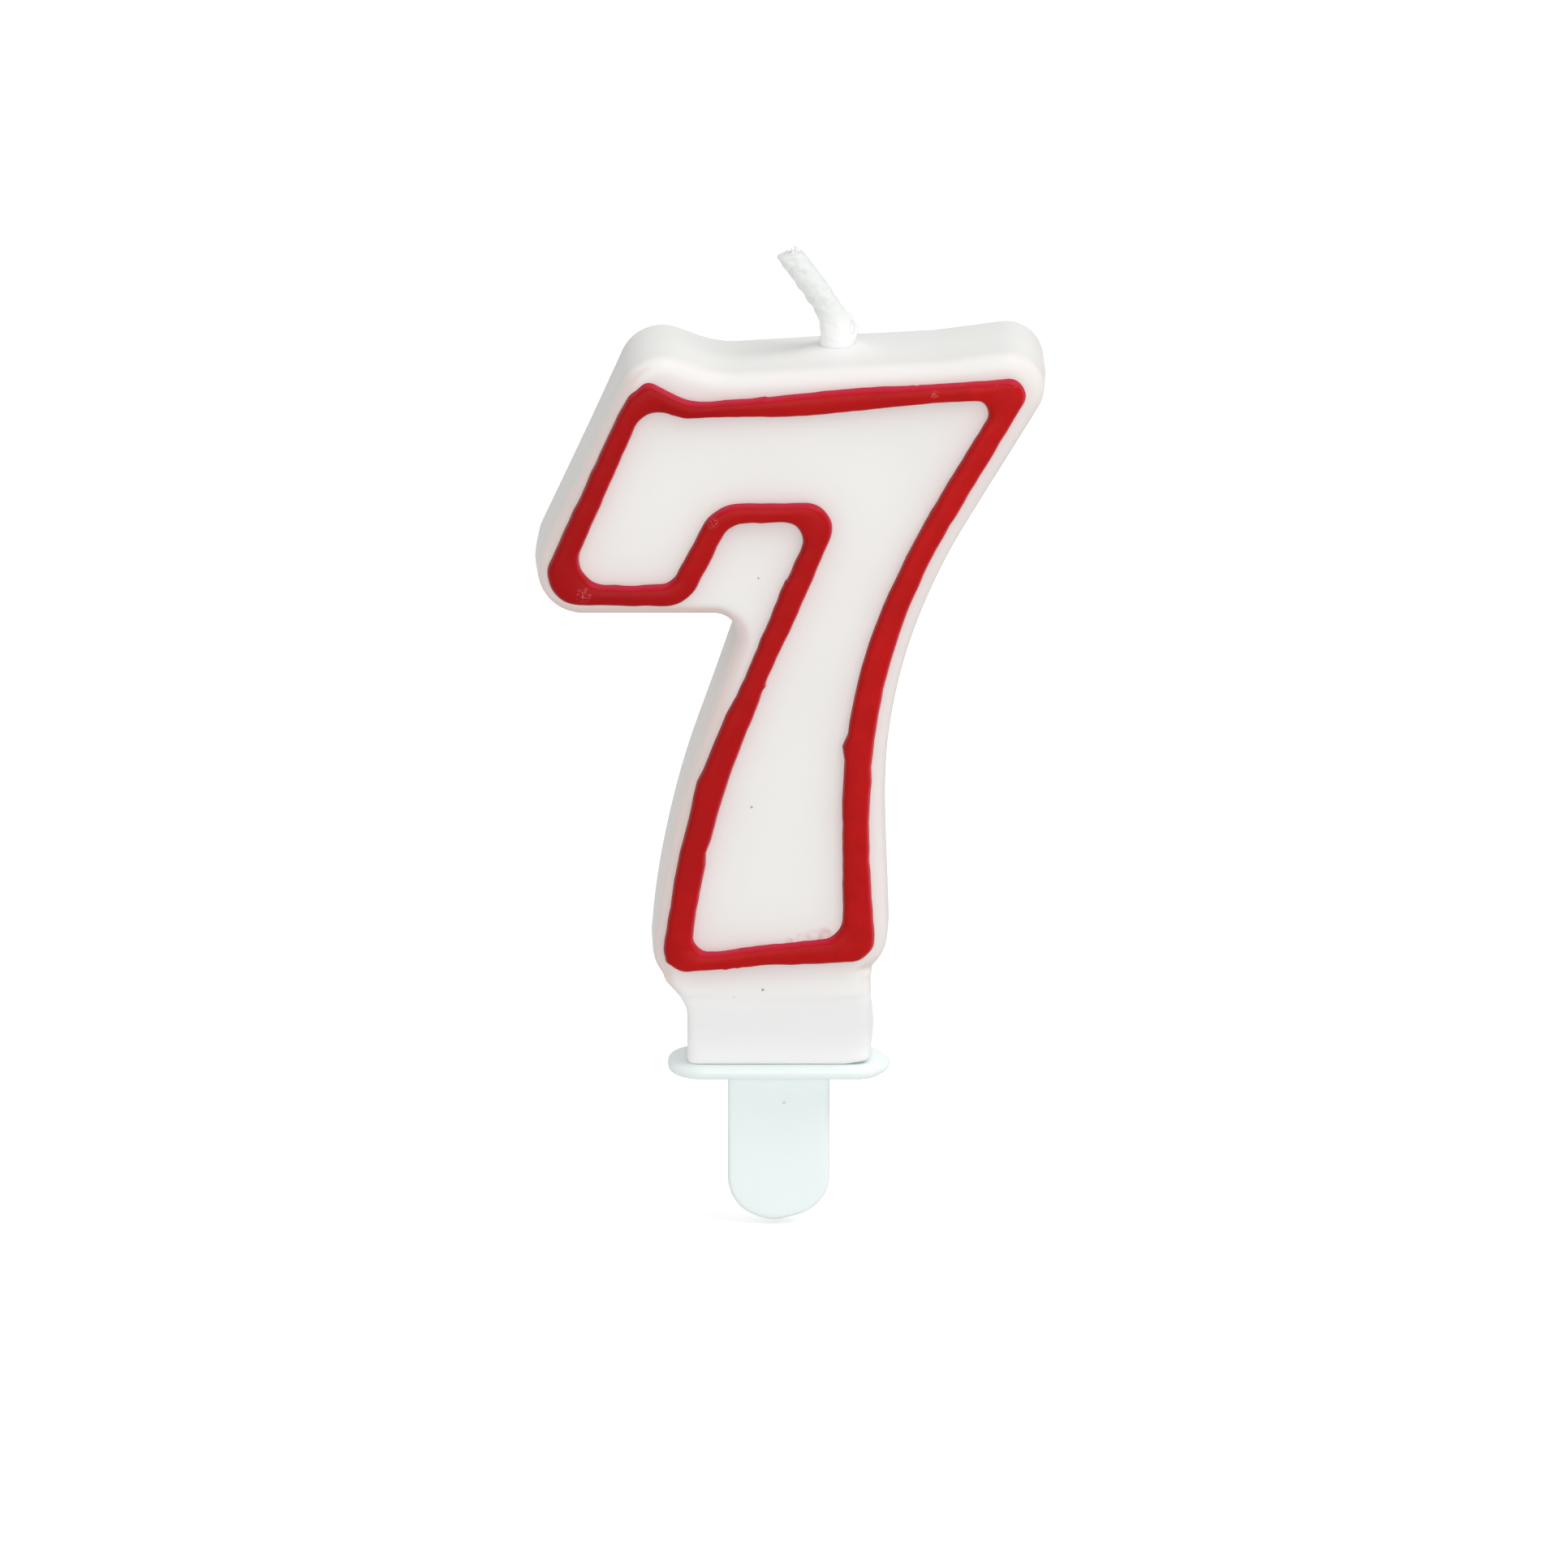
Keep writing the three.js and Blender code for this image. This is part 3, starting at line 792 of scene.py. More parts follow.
def wax_finish(colours):
    """White paraffin: a little light passes through it, and the red stains it next to the line."""
    wax = new_finish("white wax")
    base = wax.mix(wax.noise(size=9 * MM), rgba(colours.wax, 0.985), rgba(colours.wax, 1.01))
    # The clean neck's colour, also laid round the wick's root as painted light
    base = wax.mix(wax.attribute("clean"), base, rgba(colours.neck))
    base = wax.mix(wax.attribute("stain", colours.stain_strength), base, rgba(colours.stain))
    # Painted shade: edges, walls and the underside are tinted darker and pinker by which way they face
    base = wax.mix(wax.attribute("blush", strength=0.6), base, rgba(colours.blush))
    base = wax.dots(SPECKS, base, colours.speck, strength=0.75)
    patches = wax.clamp(wax.noise(size=0.9 * MM, detail=3), low=0.3, high=0.75, strength=0.4)
    grain = wax.noise(size=0.9 * MM, detail=4, roughness=0.6)
    return wax.surface(
        Base_Color=wax.dots(SMEARS, base, colours.smear, patches),
        Roughness=wax.between(wax.noise(size=5 * MM, detail=3), 0.36, 0.52),
        Normal=wax.bump(grain, distance=0.02 * MM, strength=0.5),
        IOR=1.44,
        Specular_IOR_Level=0.35,
        Subsurface_Weight=colours.depth,
        Subsurface_Radius=(1.0, 0.9, 0.85),
        Subsurface_Scale=1.0 * MM,
    )


def red_finish(colours):
    """Coloured wax laid on by hand: satin, with faint streaks of thicker and thinner colour."""
    red = new_finish("red wax")
    base = red.mix(red.attribute("thin"), rgba(colours.thick_red), rgba(colours.thin_red))
    streaks = red.noise(size=2.2 * MM, detail=4, roughness=0.6)
    streaks = red.clamp(streaks, low=0.3, high=0.7, strength=0.35)
    base = red.mix(streaks, base, rgba(colours.thick_red, 0.9))
    # Painted highlight: paler, pinker red on the bead's shoulders that face up and to the right
    base = red.mix(red.attribute("lit_edge", strength=0.6), base, rgba(colours.highlight_red))
    # Painted shade: darker red on the bead's flanks that face left
    base = red.mix(red.attribute("leftward", strength=0.35), base, rgba(colours.thick_red, 0.7))
    highlight_flecks = red.clamp(red.noise(size=0.22 * MM), low=0.5, high=0.62, strength=0.5)
    grain = red.noise(size=0.5 * MM, detail=3, roughness=0.6)
    return red.surface(
        # Pale scuffs with painted highlights, broken up into flecks
        Base_Color=red.dots(SCUFF_HIGHLIGHTS, base, colours.scuff_highlight_red, highlight_flecks),
        Roughness=red.between(red.noise(size=2 * MM, detail=3), 0.24, 0.44),
        Normal=red.bump(grain, distance=0.03 * MM, strength=0.5),
        IOR=1.44,
        Specular_IOR_Level=0.12,
        Subsurface_Weight=0.05,
        Subsurface_Radius=(1.0, 0.2, 0.2),
        Subsurface_Scale=0.5 * MM,
    )


def cotton_finish(colours):
    """Braided cotton, soaked in wax."""
    cotton = new_finish("waxed cotton")
    fibre = cotton.noise(size=0.35 * MM, detail=4, roughness=0.65)
    base = cotton.mix(fibre, rgba(colours.cotton, 0.93), rgba(colours.cotton, 1.05))
    return cotton.surface(
        Base_Color=cotton.mix(cotton.attribute("soaked"), base, rgba(colours.soaked)),
        Roughness=cotton.between(cotton.noise(size=1.2 * MM), 0.45, 0.7),
        Normal=cotton.bump(fibre, distance=0.05 * MM, strength=0.6),
        Specular_IOR_Level=0.3,
        Subsurface_Weight=0.25,
        Subsurface_Radius=(1.0, 0.95, 0.9),
        Subsurface_Scale=1.0 * MM,
    )


def plastic_finish(colours):
    """Moulded plastic, a very pale mint, nearly opaque."""
    plastic = new_finish("pale plastic")
    cloud = plastic.noise(size=6 * MM)
    base = plastic.mix(cloud, rgba(colours.plastic, 0.985), rgba(colours.plastic, 1.01))
    return plastic.surface(
        Base_Color=plastic.dots(SPIKE_SPECKS, base, colours.spike_speck, strength=0.3),
        Roughness=plastic.between(plastic.noise(size=3 * MM, detail=3), 0.26, 0.38),
        Normal=plastic.bump(plastic.noise(size=1.6 * MM), distance=0.02 * MM, strength=0.35),
        IOR=1.49,
        Specular_IOR_Level=0.4,
        Subsurface_Weight=0.15,
        Subsurface_Radius=(1.0, 1.0, 1.0),
        Subsurface_Scale=1.0 * MM,
    )


# Wax body


def numeral_rings():
    """Rings of the numeral from back to front, widest at the mould's parting line."""
    back_inset, back_rise = edge_profile(BACK_EDGE, steps=8)
    front_inset, front_rise = edge_profile(FRONT_EDGE, steps=12)
    inset = np.concatenate((back_inset[::-1] + SIDE_DRAFT, [0], front_inset + SIDE_DRAFT))
    back = WAX_THICKNESS / 2 - BACK_EDGE + back_rise
    front = WAX_THICKNESS / 2 - FRONT_EDGE + front_rise
    at = np.concatenate((back[::-1], [0], -front))
    corners = wax_corners()
    rings = [standing(outline(corners, WAX_OFFSET - a), b) for a, b in zip(inset, at)]
    return [ring + (0, 0, COLLAR_THICKNESS) for ring in rings]


def neck_rings():
    """Rings of the neck, which deepens up to the numeral's face and widens at its sides."""
    inside = FOOT_HEIGHT - FOOT_SKIRT
    foot = inside - WAX_OFFSET
    face = foot + SIDE_DRAFT + FACE_EDGE
    rings = []
    for z in np.linspace(0, inside, NECK_RINGS):
        left_flare = np.clip((z - foot) / LEFT_FLARE_HEIGHT + 1, 0, FLARE_LIMIT) ** 2
        right_flare = smooth_step(inside - RIGHT_FLARE_HEIGHT, inside, z)
        swell = smooth_step(STRAIGHT_NECK, face, z)
        depth = (NECK_DEPTH + (WAX_THICKNESS - 2 * NECK_SINK - NECK_DEPTH) * swell) / 2
        left = -NECK_WIDTH / 2 - LEFT_FLARE * left_flare
        right = NECK_WIDTH / 2 + RIGHT_FLARE * right_flare
        plan = rectangle(left, right, -depth, depth, NECK_CORNER, NECK_CORNER)
        rings.append(lying(outline(plan), z + COLLAR_THICKNESS))
    return rings


def tang_corners(grown=0.0):
    """The tang's corners, or those of its slot when it is grown."""
    half = TANG_WIDTH / 2 + grown
    top = COLLAR_THICKNESS + TANG_LENGTH + grown
    return rectangle(-half, half, COLLAR_THICKNESS / 2, top, BLADE_EDGE, TANG_CORNER + grown)


def slot_piece():
    """What the tang's slot takes out of the neck."""
    thickness = TANG_THICKNESS + 2 * TANG_CLEARANCE
    return loft("slot", plate_rings(tang_corners(TANG_CLEARANCE), thickness, BLADE_EDGE, standing))


def top_edge(x):
    """Height of the wax's top edge at the parting line, right of the dip."""
    corners = wax_corners()
    turn, dip = corners[7][0], corners[8][0]
    slope = (turn[1] - dip[1]) / (turn[0] - dip[0])
    return dip[1] + slope * (x - dip[0]) + WAX_OFFSET * math.hypot(1, slope)


def wick_ends():
    """The wick's foot, in the stem, and where it leaves the wax."""
    foot_z = COLLAR_THICKNESS + TANG_LENGTH + TANG_CLEARANCE + WICK_FOOT_WALL
    mouth_x = line_points()["hookRight"][0] + WICK_FROM_HOOK
    mouth_z = COLLAR_THICKNESS + top_edge(mouth_x)
    return np.array((FOOT_SHIFT, 0, foot_z)), np.array((mouth_x, 0, mouth_z))


def tube_rings(path, radii, sides):
    """Rings round a path in the plane of the seven, each with its own radii."""
    ahead = np.gradient(path, axis=0)
    ahead /= np.linalg.norm(ahead, axis=1)[:, None]
    across = np.column_stack((ahead[:, 2], np.zeros(len(path)), -ahead[:, 0]))
    angles = 2 * math.pi * np.arange(sides) / sides
    out = np.cos(angles)[None, :, None] * across[:, None, :]
    out = out + np.sin(angles)[None, :, None] * np.array((0, 1, 0))
    return path[:, None, :] + np.broadcast_to(radii, (len(path), sides))[:, :, None] * out


def bore_piece():
    """What the wick's bore takes out of the stem."""
    foot, mouth = wick_ends()
    way = (mouth - foot) / np.linalg.norm(mouth - foot)
    path = np.array((foot - way * WICK_CLEARANCE, mouth + way * WICK_DIAMETER))
    radius = np.full((2, 1), WICK_DIAMETER / 2 + WICK_CLEARANCE)
    return loft("bore", tube_rings(path, radius, sides=24))


def seen_from(points, line, reach):
    """How strongly a closed line shows at each point: 1 beside a straight stretch of it."""
    steps = np.linalg.norm(np.roll(line, -1, axis=0) - line, axis=1)
    seen = np.empty(len(points))
    for start in range(0, len(points), BATCH):
        part = points[start : start + BATCH]
        away = np.linalg.norm(part[:, None, :] - line[None, :, :], axis=2)
        seen[start : start + BATCH] = np.exp(-away / reach) @ steps
    return seen / (2 * reach)


def shape_wax(piece):
    """What casting and cooling do to the plain form: sunk faces, soft waves and thick drops."""
    points = points_of(piece)
    x, y, z = points.T
    on_face = smooth_step(*FACE_RIM, np.abs(y))
    wave = ripple(points, FACE_WAVE, seed=11)
    points[:, 1] -= np.sign(y) * on_face * (FACE_SINK + SWELL * wave)
    points[:, 0] += (1 - on_face) * SWELL * ripple(points, SIDE_WAVE, seed=12)
    mouth = wick_ends()[1]
    on_top = smooth_step(*MELT_TOP, z - mouth[2])
    points[:, 2] += on_top * MELT_RISE * mound(np.hypot(x - mouth[0], y), MELT_REACH)
    height = z - COLLAR_THICKNESS
    at_right = smooth_step(NECK_WIDTH / 2 - BULGE_SIDE, NECK_WIDTH / 2, x)
    at_back = smooth_step(-BULGE_BACK, BULGE_BACK, y)
    points[:, 0] += BULGE * mound(height - BULGE_HEIGHT, BULGE_REACH) * at_right * at_back
    points[:, 2] += HEM_LIFT * smooth_step(*HEM_RUN, x) * (1 - smooth_step(0, HEM_HEIGHT, height))
    move_points(piece, points)


def clean_wax(points):
    """How clean the wax of the neck is, and how strongly painted light brightens the wax round the
    wick's root.
    """
    foot = COLLAR_THICKNESS + FOOT_HEIGHT - FOOT_SKIRT - WAX_OFFSET
    neck = 1 - smooth_step(*CLEAN_BELOW, points[:, 2] - foot)
    x, y, z = (points - wick_ends()[1]).T
    lit_root = mound(np.hypot(x, y), LIT_ROOT_REACH) * smooth_step(*LIT_ROOT, z)
    return np.maximum(neck, lit_root)


def blush(kind, lean):
    """How strongly a kind of surface blushes where it leans this far that way."""
    strength, low, high = SHADE_BLUSH[kind]
    return strength * smooth_step(low, high, lean)


def blushing_wax(piece):
    """How strongly painted shade, darker and pinker, shows on the wax's edges, walls and underside, by
    which way each faces.
    """
    right, back, up = normals_of(piece).T
    edge = smooth_step(*EDGE_LEAN, np.abs(back))
    high = smooth_step(*HIGH_WALL, points_of(piece)[:, 2])
    surfaces = (
        blush("left edge", -right) * edge * (1 - smooth_step(*TOP_LEAN, up)),
        blush("left wall", -right),
        blush("right edge", right) * edge,
        blush("right wall", right) * (1 - HIGH_WALL_LOSS * high),
        blush("underside", -up) * (1 - RIGHT_UNDERSIDE_LOSS * smooth_step(*RIGHT_LEAN, right)),
    )
    return np.maximum.reduce(surfaces)


def stain_wax(piece):
    """Stores how much of the red shows through the wax, how clean its neck is, and its painted light and
    painted shade.
    """
    points = points_of(piece)
    stain = np.zeros(len(points))
    edges = bead_edges()
    for side in (-1, 1):
        for edge in edges:
            line = standing(edge, side * WAX_THICKNESS / 2) + (0, 0, COLLAR_THICKNESS)
            stain += LINE_SHARE * seen_from(points, line[::2], STAIN_REACH)
    stain = np.clip(stain, 0, STAIN_LIMIT)
    clean = clean_wax(points)
    keep_values(piece, stain=stain, clean=clean, blush=blushing_wax(piece) * (1 - clean))


class CANDLE_OT_wax_body(Operator):
    """Casts the white seven with its neck, the slot for the tang and the bore for the wick"""

    bl_idname = "candle.wax_body"
    bl_label = "Wax body"

    def execute(self, context):
        body = loft("cast_wax_seven", numeral_rings())
        combine(body, "UNION", loft("neck", neck_rings()))
        combine(body, "DIFFERENCE", slot_piece(), bore_piece())
        melt(body, context.scene.candle_sizes.wax_grain, softening=5)
        shape_wax(body)
        stain_wax(body)
        dress(body, "candle", "wax_body", wax_finish(context.scene.candle_colours))
        return {"FINISHED"}


# Outline beads


def bead_edges():
    """The bead's plain outer and inner edges, point for point."""
    corners = bead_corners()
    counts = step_counts(corners, BEAD_STEP)
    edges = []
    for which, offset in enumerate((BEAD_WIDTH / 2, -BEAD_WIDTH / 2)):
        strays = np.array([BEAD_EDGES[name][which] for name in line_points()]) * MM
        at = spread(corners, offset) + strays[:, :2]
        edges.append(outline(list(zip(at, strays[:, 2])), 0.0, counts))
    return edges


def bead_section():
    """The bead's section: across from -1 to 1, and its height, from the outer foot to the inner."""
    angles = np.linspace(0, math.pi / 2, SHOULDER_POINTS)
    half = BEAD_WIDTH / 2
    slope = np.array((0, 0, BEAD_SLOPE / 2))
    rise = np.array((-BEAD_ROOT, 0, (BEAD_HEIGHT - BEAD_SHOULDER) / 2))
    across = half - np.concatenate((slope, BEAD_SLOPE + BEAD_SHOULDER * (1 - np.cos(angles))))
    height = np.concatenate((rise, BEAD_HEIGHT - BEAD_CROWN - BEAD_SHOULDER * (1 - np.sin(angles))))
    across = np.concatenate((across, across[-1] * CROWN_SHARES))
    height = np.concatenate((height, BEAD_HEIGHT - BEAD_CROWN * CROWN_SHARES**2))
    across = np.concatenate((across, -across[-2::-1])) / half
    return across, np.concatenate((height, height[-2::-1]))


def along(centre):
    """How far along a closed line each point is, and its whole length."""
    steps = np.linalg.norm(np.roll(centre, -1, axis=0) - centre, axis=1)
    return np.concatenate(([0], np.cumsum(steps)[:-1])), steps.sum()


def marked(edge, run, total, marks):
    """How far the marks on one edge stand out at each of its points."""
    out = np.zeros(len(edge))
    for x, z, height, before, after in marks:
        at = np.linalg.norm(edge - (x * MM, z * MM - COLLAR_THICKNESS), axis=1).argmin()
        gap = (run - run[at] + total / 2) % total - total / 2
        out += height * MM * mound(gap, np.where(gap < 0, before, after) * MM)
    return out


def bead_piece(name, side, seed, marks=((), ())):
    """One closed bead: side is -1 on the front face and 1 on the back."""
    outer, inner = bead_edges()
    run, total = along((outer + inner) / 2)
    share = run / total
    out = (outer - inner) / np.linalg.norm(outer - inner, axis=1)[:, None]
    for edge, way, stands in zip((outer, inner), (1, -1), marks):
        fray = BEAD_FRAY * wander(share, FRAY_WAVES, seed + way)
        edge += way * out * (fray + marked(edge, run, total, stands))[:, None]
    middle, reach = (outer + inner) / 2, (outer - inner) / 2
    lift = 1 - BEAD_SAG * np.abs(wander(share, SAG_WAVES, seed + 2))
    rings = []
    for u, h in zip(*bead_section()):
        up = h * lift if h > 0 else np.full(len(run), h)
        ring = standing(middle + reach * u, 0) + (0, 0, COLLAR_THICKNESS)
        ring[:, 1] = side * (WAX_THICKNESS / 2 + up)
        rings.append(ring)
    piece = loft(name, rings, closed=True)
    points = points_of(piece)
    coat = 0.5 + points[:, 0] / COAT_RUN + COAT_RIPPLE * ripple(points, COAT_WAVE, seed)
    right, _, up = normals_of(piece).T
    # Painted highlight on shoulders that face up or right, and painted shade on flanks that face left
    lit_right = LIT_RIGHT_SHARE * smooth_step(*LIT_RIGHTWARD, right)
    lit_edge = np.maximum(smooth_step(*LIT_UPWARD, up), lit_right)
    leftward = smooth_step(*SHADED_LEFTWARD, -right)
    keep_values(piece, thin=np.clip(coat, 0, 1), lit_edge=lit_edge, leftward=leftward)
    return piece


class CANDLE_OT_outlines(Operator):
    """Lays the raised red outline on the front and on the back"""

    bl_idname = "candle.outlines"
    bl_label = "Outlines"

    def execute(self, context):
        finish = red_finish(context.scene.candle_colours)
        front = bead_piece("painted_outline_front", side=-1, seed=21, marks=(OUTER_MARKS, INNER_MARKS))
        back = bead_piece("painted_outline_back", side=1, seed=41)
        dress(front, "candle", "front_outline", finish)
        dress(back, "candle", "back_outline", finish)
        return {"FINISHED"}


# Wick


def curve_through(points, steps):
    """A smooth curve through points, with so many steps from each to the next."""
    held = np.concatenate(([2 * points[0] - points[1]], points, [2 * points[-1] - points[-2]]))
    parts = []
    for i in range(len(points) - 1):
        a, b, c, d = held[i : i + 4]
        t = np.linspace(0, 1, steps, endpoint=False)[:, None]
        bend = (2 * a - 5 * b + 4 * c - d) * t**2 + (3 * b - a - 3 * c + d) * t**3
        parts.append(b + (c - a) * t / 2 + bend / 2)
    return np.concatenate([*parts, [points[-1]]])


def from_mouth(places):
    """Places given across and up from where the wick leaves the wax."""
    return wick_ends()[1] + standing(np.array(places) * MM, 0)


def wick_path():
    """The wick's line, from its foot in the stem to its cut end."""
    foot, mouth = wick_ends()
    share = np.linspace(0, 1, STRAIGHT_STEPS, endpoint=False)[:, None]
    straight = foot + share * (mouth - foot)
    return np.concatenate((straight, curve_through(from_mouth(WICK_FREE_END), steps=18)))


def braid_rings():
    """Rings of the wick, thick where wax has climbed its root, to its slanting cut."""
    path = wick_path()
    height = (path[:, 2] - wick_ends()[1][2]) / MM
    run = np.concatenate(([0], np.cumsum(np.linalg.norm(np.diff(path, axis=0), axis=1))))
    angles = 2 * math.pi * np.arange(BRAID_SIDES) / BRAID_SIDES
    turn = 2 * math.pi * run / BRAID_LAY
    strands = [np.abs(np.cos(2 * angles[None, :] + way * turn[:, None])) for way in (1, -1)]
    relief = BRAID_RELIEF * (ROOT_RELIEF + (1 - ROOT_RELIEF) * smooth_step(*BRAID_FREE, height))
    radius = np.interp(height, *np.array(WICK_RADII).T) * MM
    radii = radius[:, None] + relief[:, None] * (np.maximum(*strands) - BRAID_MIDDLE)
    rings = tube_rings(path, radii, BRAID_SIDES)
    ahead = (path[-1] - path[-2]) / np.linalg.norm(path[-1] - path[-2])
    across = np.array((ahead[2], 0, -ahead[0]))
    near_end = smooth_step(run[-1] - WICK_CUT_RUN, run[-1], run)
    slant = (rings - path[:, None, :]) @ across * math.tan(WICK_CUT)
    rings -= (near_end[:, None] * slant)[:, :, None] * ahead
    draw = np.random.default_rng(seed=5)
    for width, further in WICK_TIP:
        middle = rings[-1].mean(axis=0)
        tuft = draw.uniform(-WICK_TUFT, WICK_TUFT, BRAID_SIDES)[:, None] * ahead
        tip = middle + (rings[-1] - middle) * width + further * ahead + tuft
        rings = np.concatenate((rings, tip[None]))
    return rings, ahead, across


def wick_piece(grain):
    """The braid with the strand that peels off its root and the fibres of its cut end."""
    rings, ahead, across = braid_rings()
    piece = loft("braided_wick", rings)
    strand = curve_through(from_mouth(STRAND), steps=8)
    parts = [tube_rings(strand, np.full((len(strand), 1), STRAND_RADIUS), sides=10)]
    end = rings[-1].mean(axis=0)
    radii = np.linspace(*FIBRE_RADII, FIBRE_STEPS)[:, None]
    for right, front, length in FIBRES:
        aside = right * across - (0, front, 0)
        root = end + FIBRE_SPREAD * aside - FIBRE_ROOT * ahead
        tip = root + (FIBRE_ROOT + length) * ahead + FIBRE_SPLAY * aside
        parts.append(tube_rings(np.linspace(root, tip, FIBRE_STEPS), radii, sides=8))
    combine(piece, "UNION", *[loft("part", part) for part in parts])
    melt(piece, grain, softening=2)
    points = points_of(piece)
    mouth_z = wick_ends()[1][2]
    rough = smooth_step(*ROUGH_FROM, points[:, 2] - mouth_z) * ripple(points, ROUGH_WAVE, seed=8)
    points += rough[:, None] * ROUGHNESS
    move_points(piece, points)
    keep_values(piece, soaked=1 - smooth_step(*SOAKED_TO, points[:, 2] - mouth_z))
    return piece


class CANDLE_OT_wick(Operator):
    """Braids the wick, from its foot in the stem to its cut end"""

    bl_idname = "candle.wick"
    bl_label = "Wick"

    def execute(self, context):
        wick = wick_piece(context.scene.candle_sizes.wick_grain)
        dress(wick, "candle", "wick", cotton_finish(context.scene.candle_colours))
        return {"FINISHED"}


# Holder


def spike_corners():
    """The spike's corners, from its blunt point round."""
    half = SPIKE_WIDTH / 2
    side_end = SPIKE_POINT - SPIKE_LENGTH
    top = COLLAR_THICKNESS / 2
    return [
        (np.array((SPIKE_POINT_SHIFT, -SPIKE_LENGTH)), SPIKE_TIP_RADIUS),
        (np.array((half, side_end)), SPIKE_TIP_RADIUS),
        (np.array((half, top)), BLADE_EDGE),
        (np.array((-half, top)), BLADE_EDGE),
        (np.array((-half, side_end)), SPIKE_TIP_RADIUS),
    ]


def collar_rings():
    """Rings of the collar, from its underside up."""
    end_x = NECK_WIDTH / 2 + COLLAR_OVERHANG
    end_y = NECK_DEPTH / 2 + COLLAR_LEDGE
    plan = rectangle(-end_x, end_x, -end_y, end_y, COLLAR_CORNER, COLLAR_CORNER)
    rings = plate_rings(plan, COLLAR_THICKNESS, COLLAR_RIM, lying)
    return [ring + (0, 0, COLLAR_THICKNESS / 2) for ring in rings]


def nip_collar(holder):
    """Thins the collar towards its right end."""
    points = points_of(holder)
    end = NECK_WIDTH / 2 + COLLAR_OVERHANG
    nip = NIP * smooth_step(end - NIP_RUN, end, points[:, 0])
    points[:, 2] += nip * (NIP_HEIGHT - points[:, 2])
    move_points(holder, points)


class CANDLE_OT_holder(Operator):
    """Moulds the holder: its collar, the spike below it and the tang above it"""

    bl_idname = "candle.holder"
    bl_label = "Holder"

    def execute(self, context):
        holder = loft("cake_holder", collar_rings())
        spike = loft("spike", plate_rings(spike_corners(), SPIKE_THICKNESS, BLADE_EDGE, standing))
        tang = loft("tang", plate_rings(tang_corners(), TANG_THICKNESS, BLADE_EDGE, standing))
        combine(holder, "UNION", spike, tang)
        melt(holder, context.scene.candle_sizes.plastic_grain, softening=3)
        nip_collar(holder)
        dress(holder, "holder", "holder", plastic_finish(context.scene.candle_colours))
        return {"FINISHED"}


# Stage


def stand(data, at, towards):
    """Adds a camera or lamp at a place, looking towards another."""
    made = bpy.data.objects.new(data.name, data)
    bpy.context.scene.collection.objects.link(made)
    made.location = at
    made.rotation_euler = (towards - at).to_track_quat("-Z", "Y").to_euler()
    return made


def add_camera():
    """The photograph's view: its angle, scale and framing."""
    data = bpy.data.cameras.new("camera")
    data.lens = CAMERA_LENS
    data.sensor_width = CAMERA_SENSOR
    right = Vector((1, 0, 0))
    up = Vector((0, math.sin(CAMERA_ELEVATION), math.cos(CAMERA_ELEVATION)))
    ahead = Vector((0, math.cos(CAMERA_ELEVATION), -math.sin(CAMERA_ELEVATION)))
    centre = right * (PHOTO_PX / 2 - ORIGIN_PX[0]) / PX_PER_METRE
    centre += up * (ORIGIN_PX[1] - PHOTO_PX / 2) / PX_PER_METRE
    distance = PHOTO_PX * CAMERA_LENS / CAMERA_SENSOR / PX_PER_METRE
    bpy.context.scene.camera = stand(data, centre - ahead * distance, centre)


def add_lamp(name, way, power):
    """A square soft lamp that faces the candle's middle from this way."""
    data = bpy.data.lights.new(name, "AREA")
    data.size = LAMP_SIZE
    data.energy = power
    middle = Vector((0, 0, (WAX_LOW.z + WAX_HIGH.z) / 2))
    stand(data, middle + Vector(way).normalized() * LAMP_DISTANCE, middle)


def add_world(strength):
    """Even surroundings, pure white where the camera, a reflection or glass looks at them."""
    sky = Finish(bpy.data.worlds.new("surroundings"))
    rays = sky.node("ShaderNodeLightPath").outputs
    seen = Value(sky, rays["Is Camera Ray"])
    for name in ("Is Glossy Ray", "Is Transmission Ray"):
        seen = seen.maths("MAXIMUM", seen, rays[name])
    sockets = {"Color": rgba((1, 1, 1)), "Strength": sky.between(seen, strength, 1)}
    background = sky.node("ShaderNodeBackground", None, sockets)
    bpy.context.scene.world = sky.end("ShaderNodeOutputWorld", background)


def add_floor(z, lift):
    """A pale floor under the spike, which keeps the candle's shadow."""
    half = FLOOR_HALF
    corners = [(-half, -half, z), (half, -half, z), (half, half, z), (-half, half, z)]
    floor = place("floor", corners, [(0, 1, 2, 3)])
    paper = new_finish("white paper")
    diffuse = paper.node("ShaderNodeBsdfDiffuse", None, {"Color": rgba(FLOOR_COLOUR)})
    seen = Value(paper, paper.node("ShaderNodeLightPath").outputs["Is Camera Ray"])
    glow = paper.node("ShaderNodeEmission", None, {"Strength": seen * lift})
    both = paper.node("ShaderNodeAddShader", None, {0: diffuse.outputs[0], 1: glow.outputs[0]})
    floor.data.materials.append(paper.end(MATERIAL_END, both))


class CANDLE_OT_stage(Operator):
    """Sets the camera, the lamps, the surroundings and the floor"""

    bl_idname = "candle.stage"
    bl_label = "Stage"

    def execute(self, context):
        stage = context.scene.candle_stage
        add_camera()
        add_lamp("top", TOP_LAMP, stage.top_power)
        add_lamp("front", FRONT_LAMP, stage.front_power)
        add_lamp("left", LEFT_LAMP, stage.left_power)
        add_world(stage.sky)
        add_floor(-SPIKE_LENGTH - FLOOR_GAP, stage.floor_lift)
        context.scene.view_settings.view_transform = "Standard"
        return {"FINISHED"}


# Settings and panel


def grain_property(name, description, default):
    """A size of faces that a user may change."""
    limits = {"min": 0.08 * MM, "max": 1 * MM}
    return FloatProperty(
        name=name, description=description, default=default, precision=5, unit="LENGTH", **limits
    )


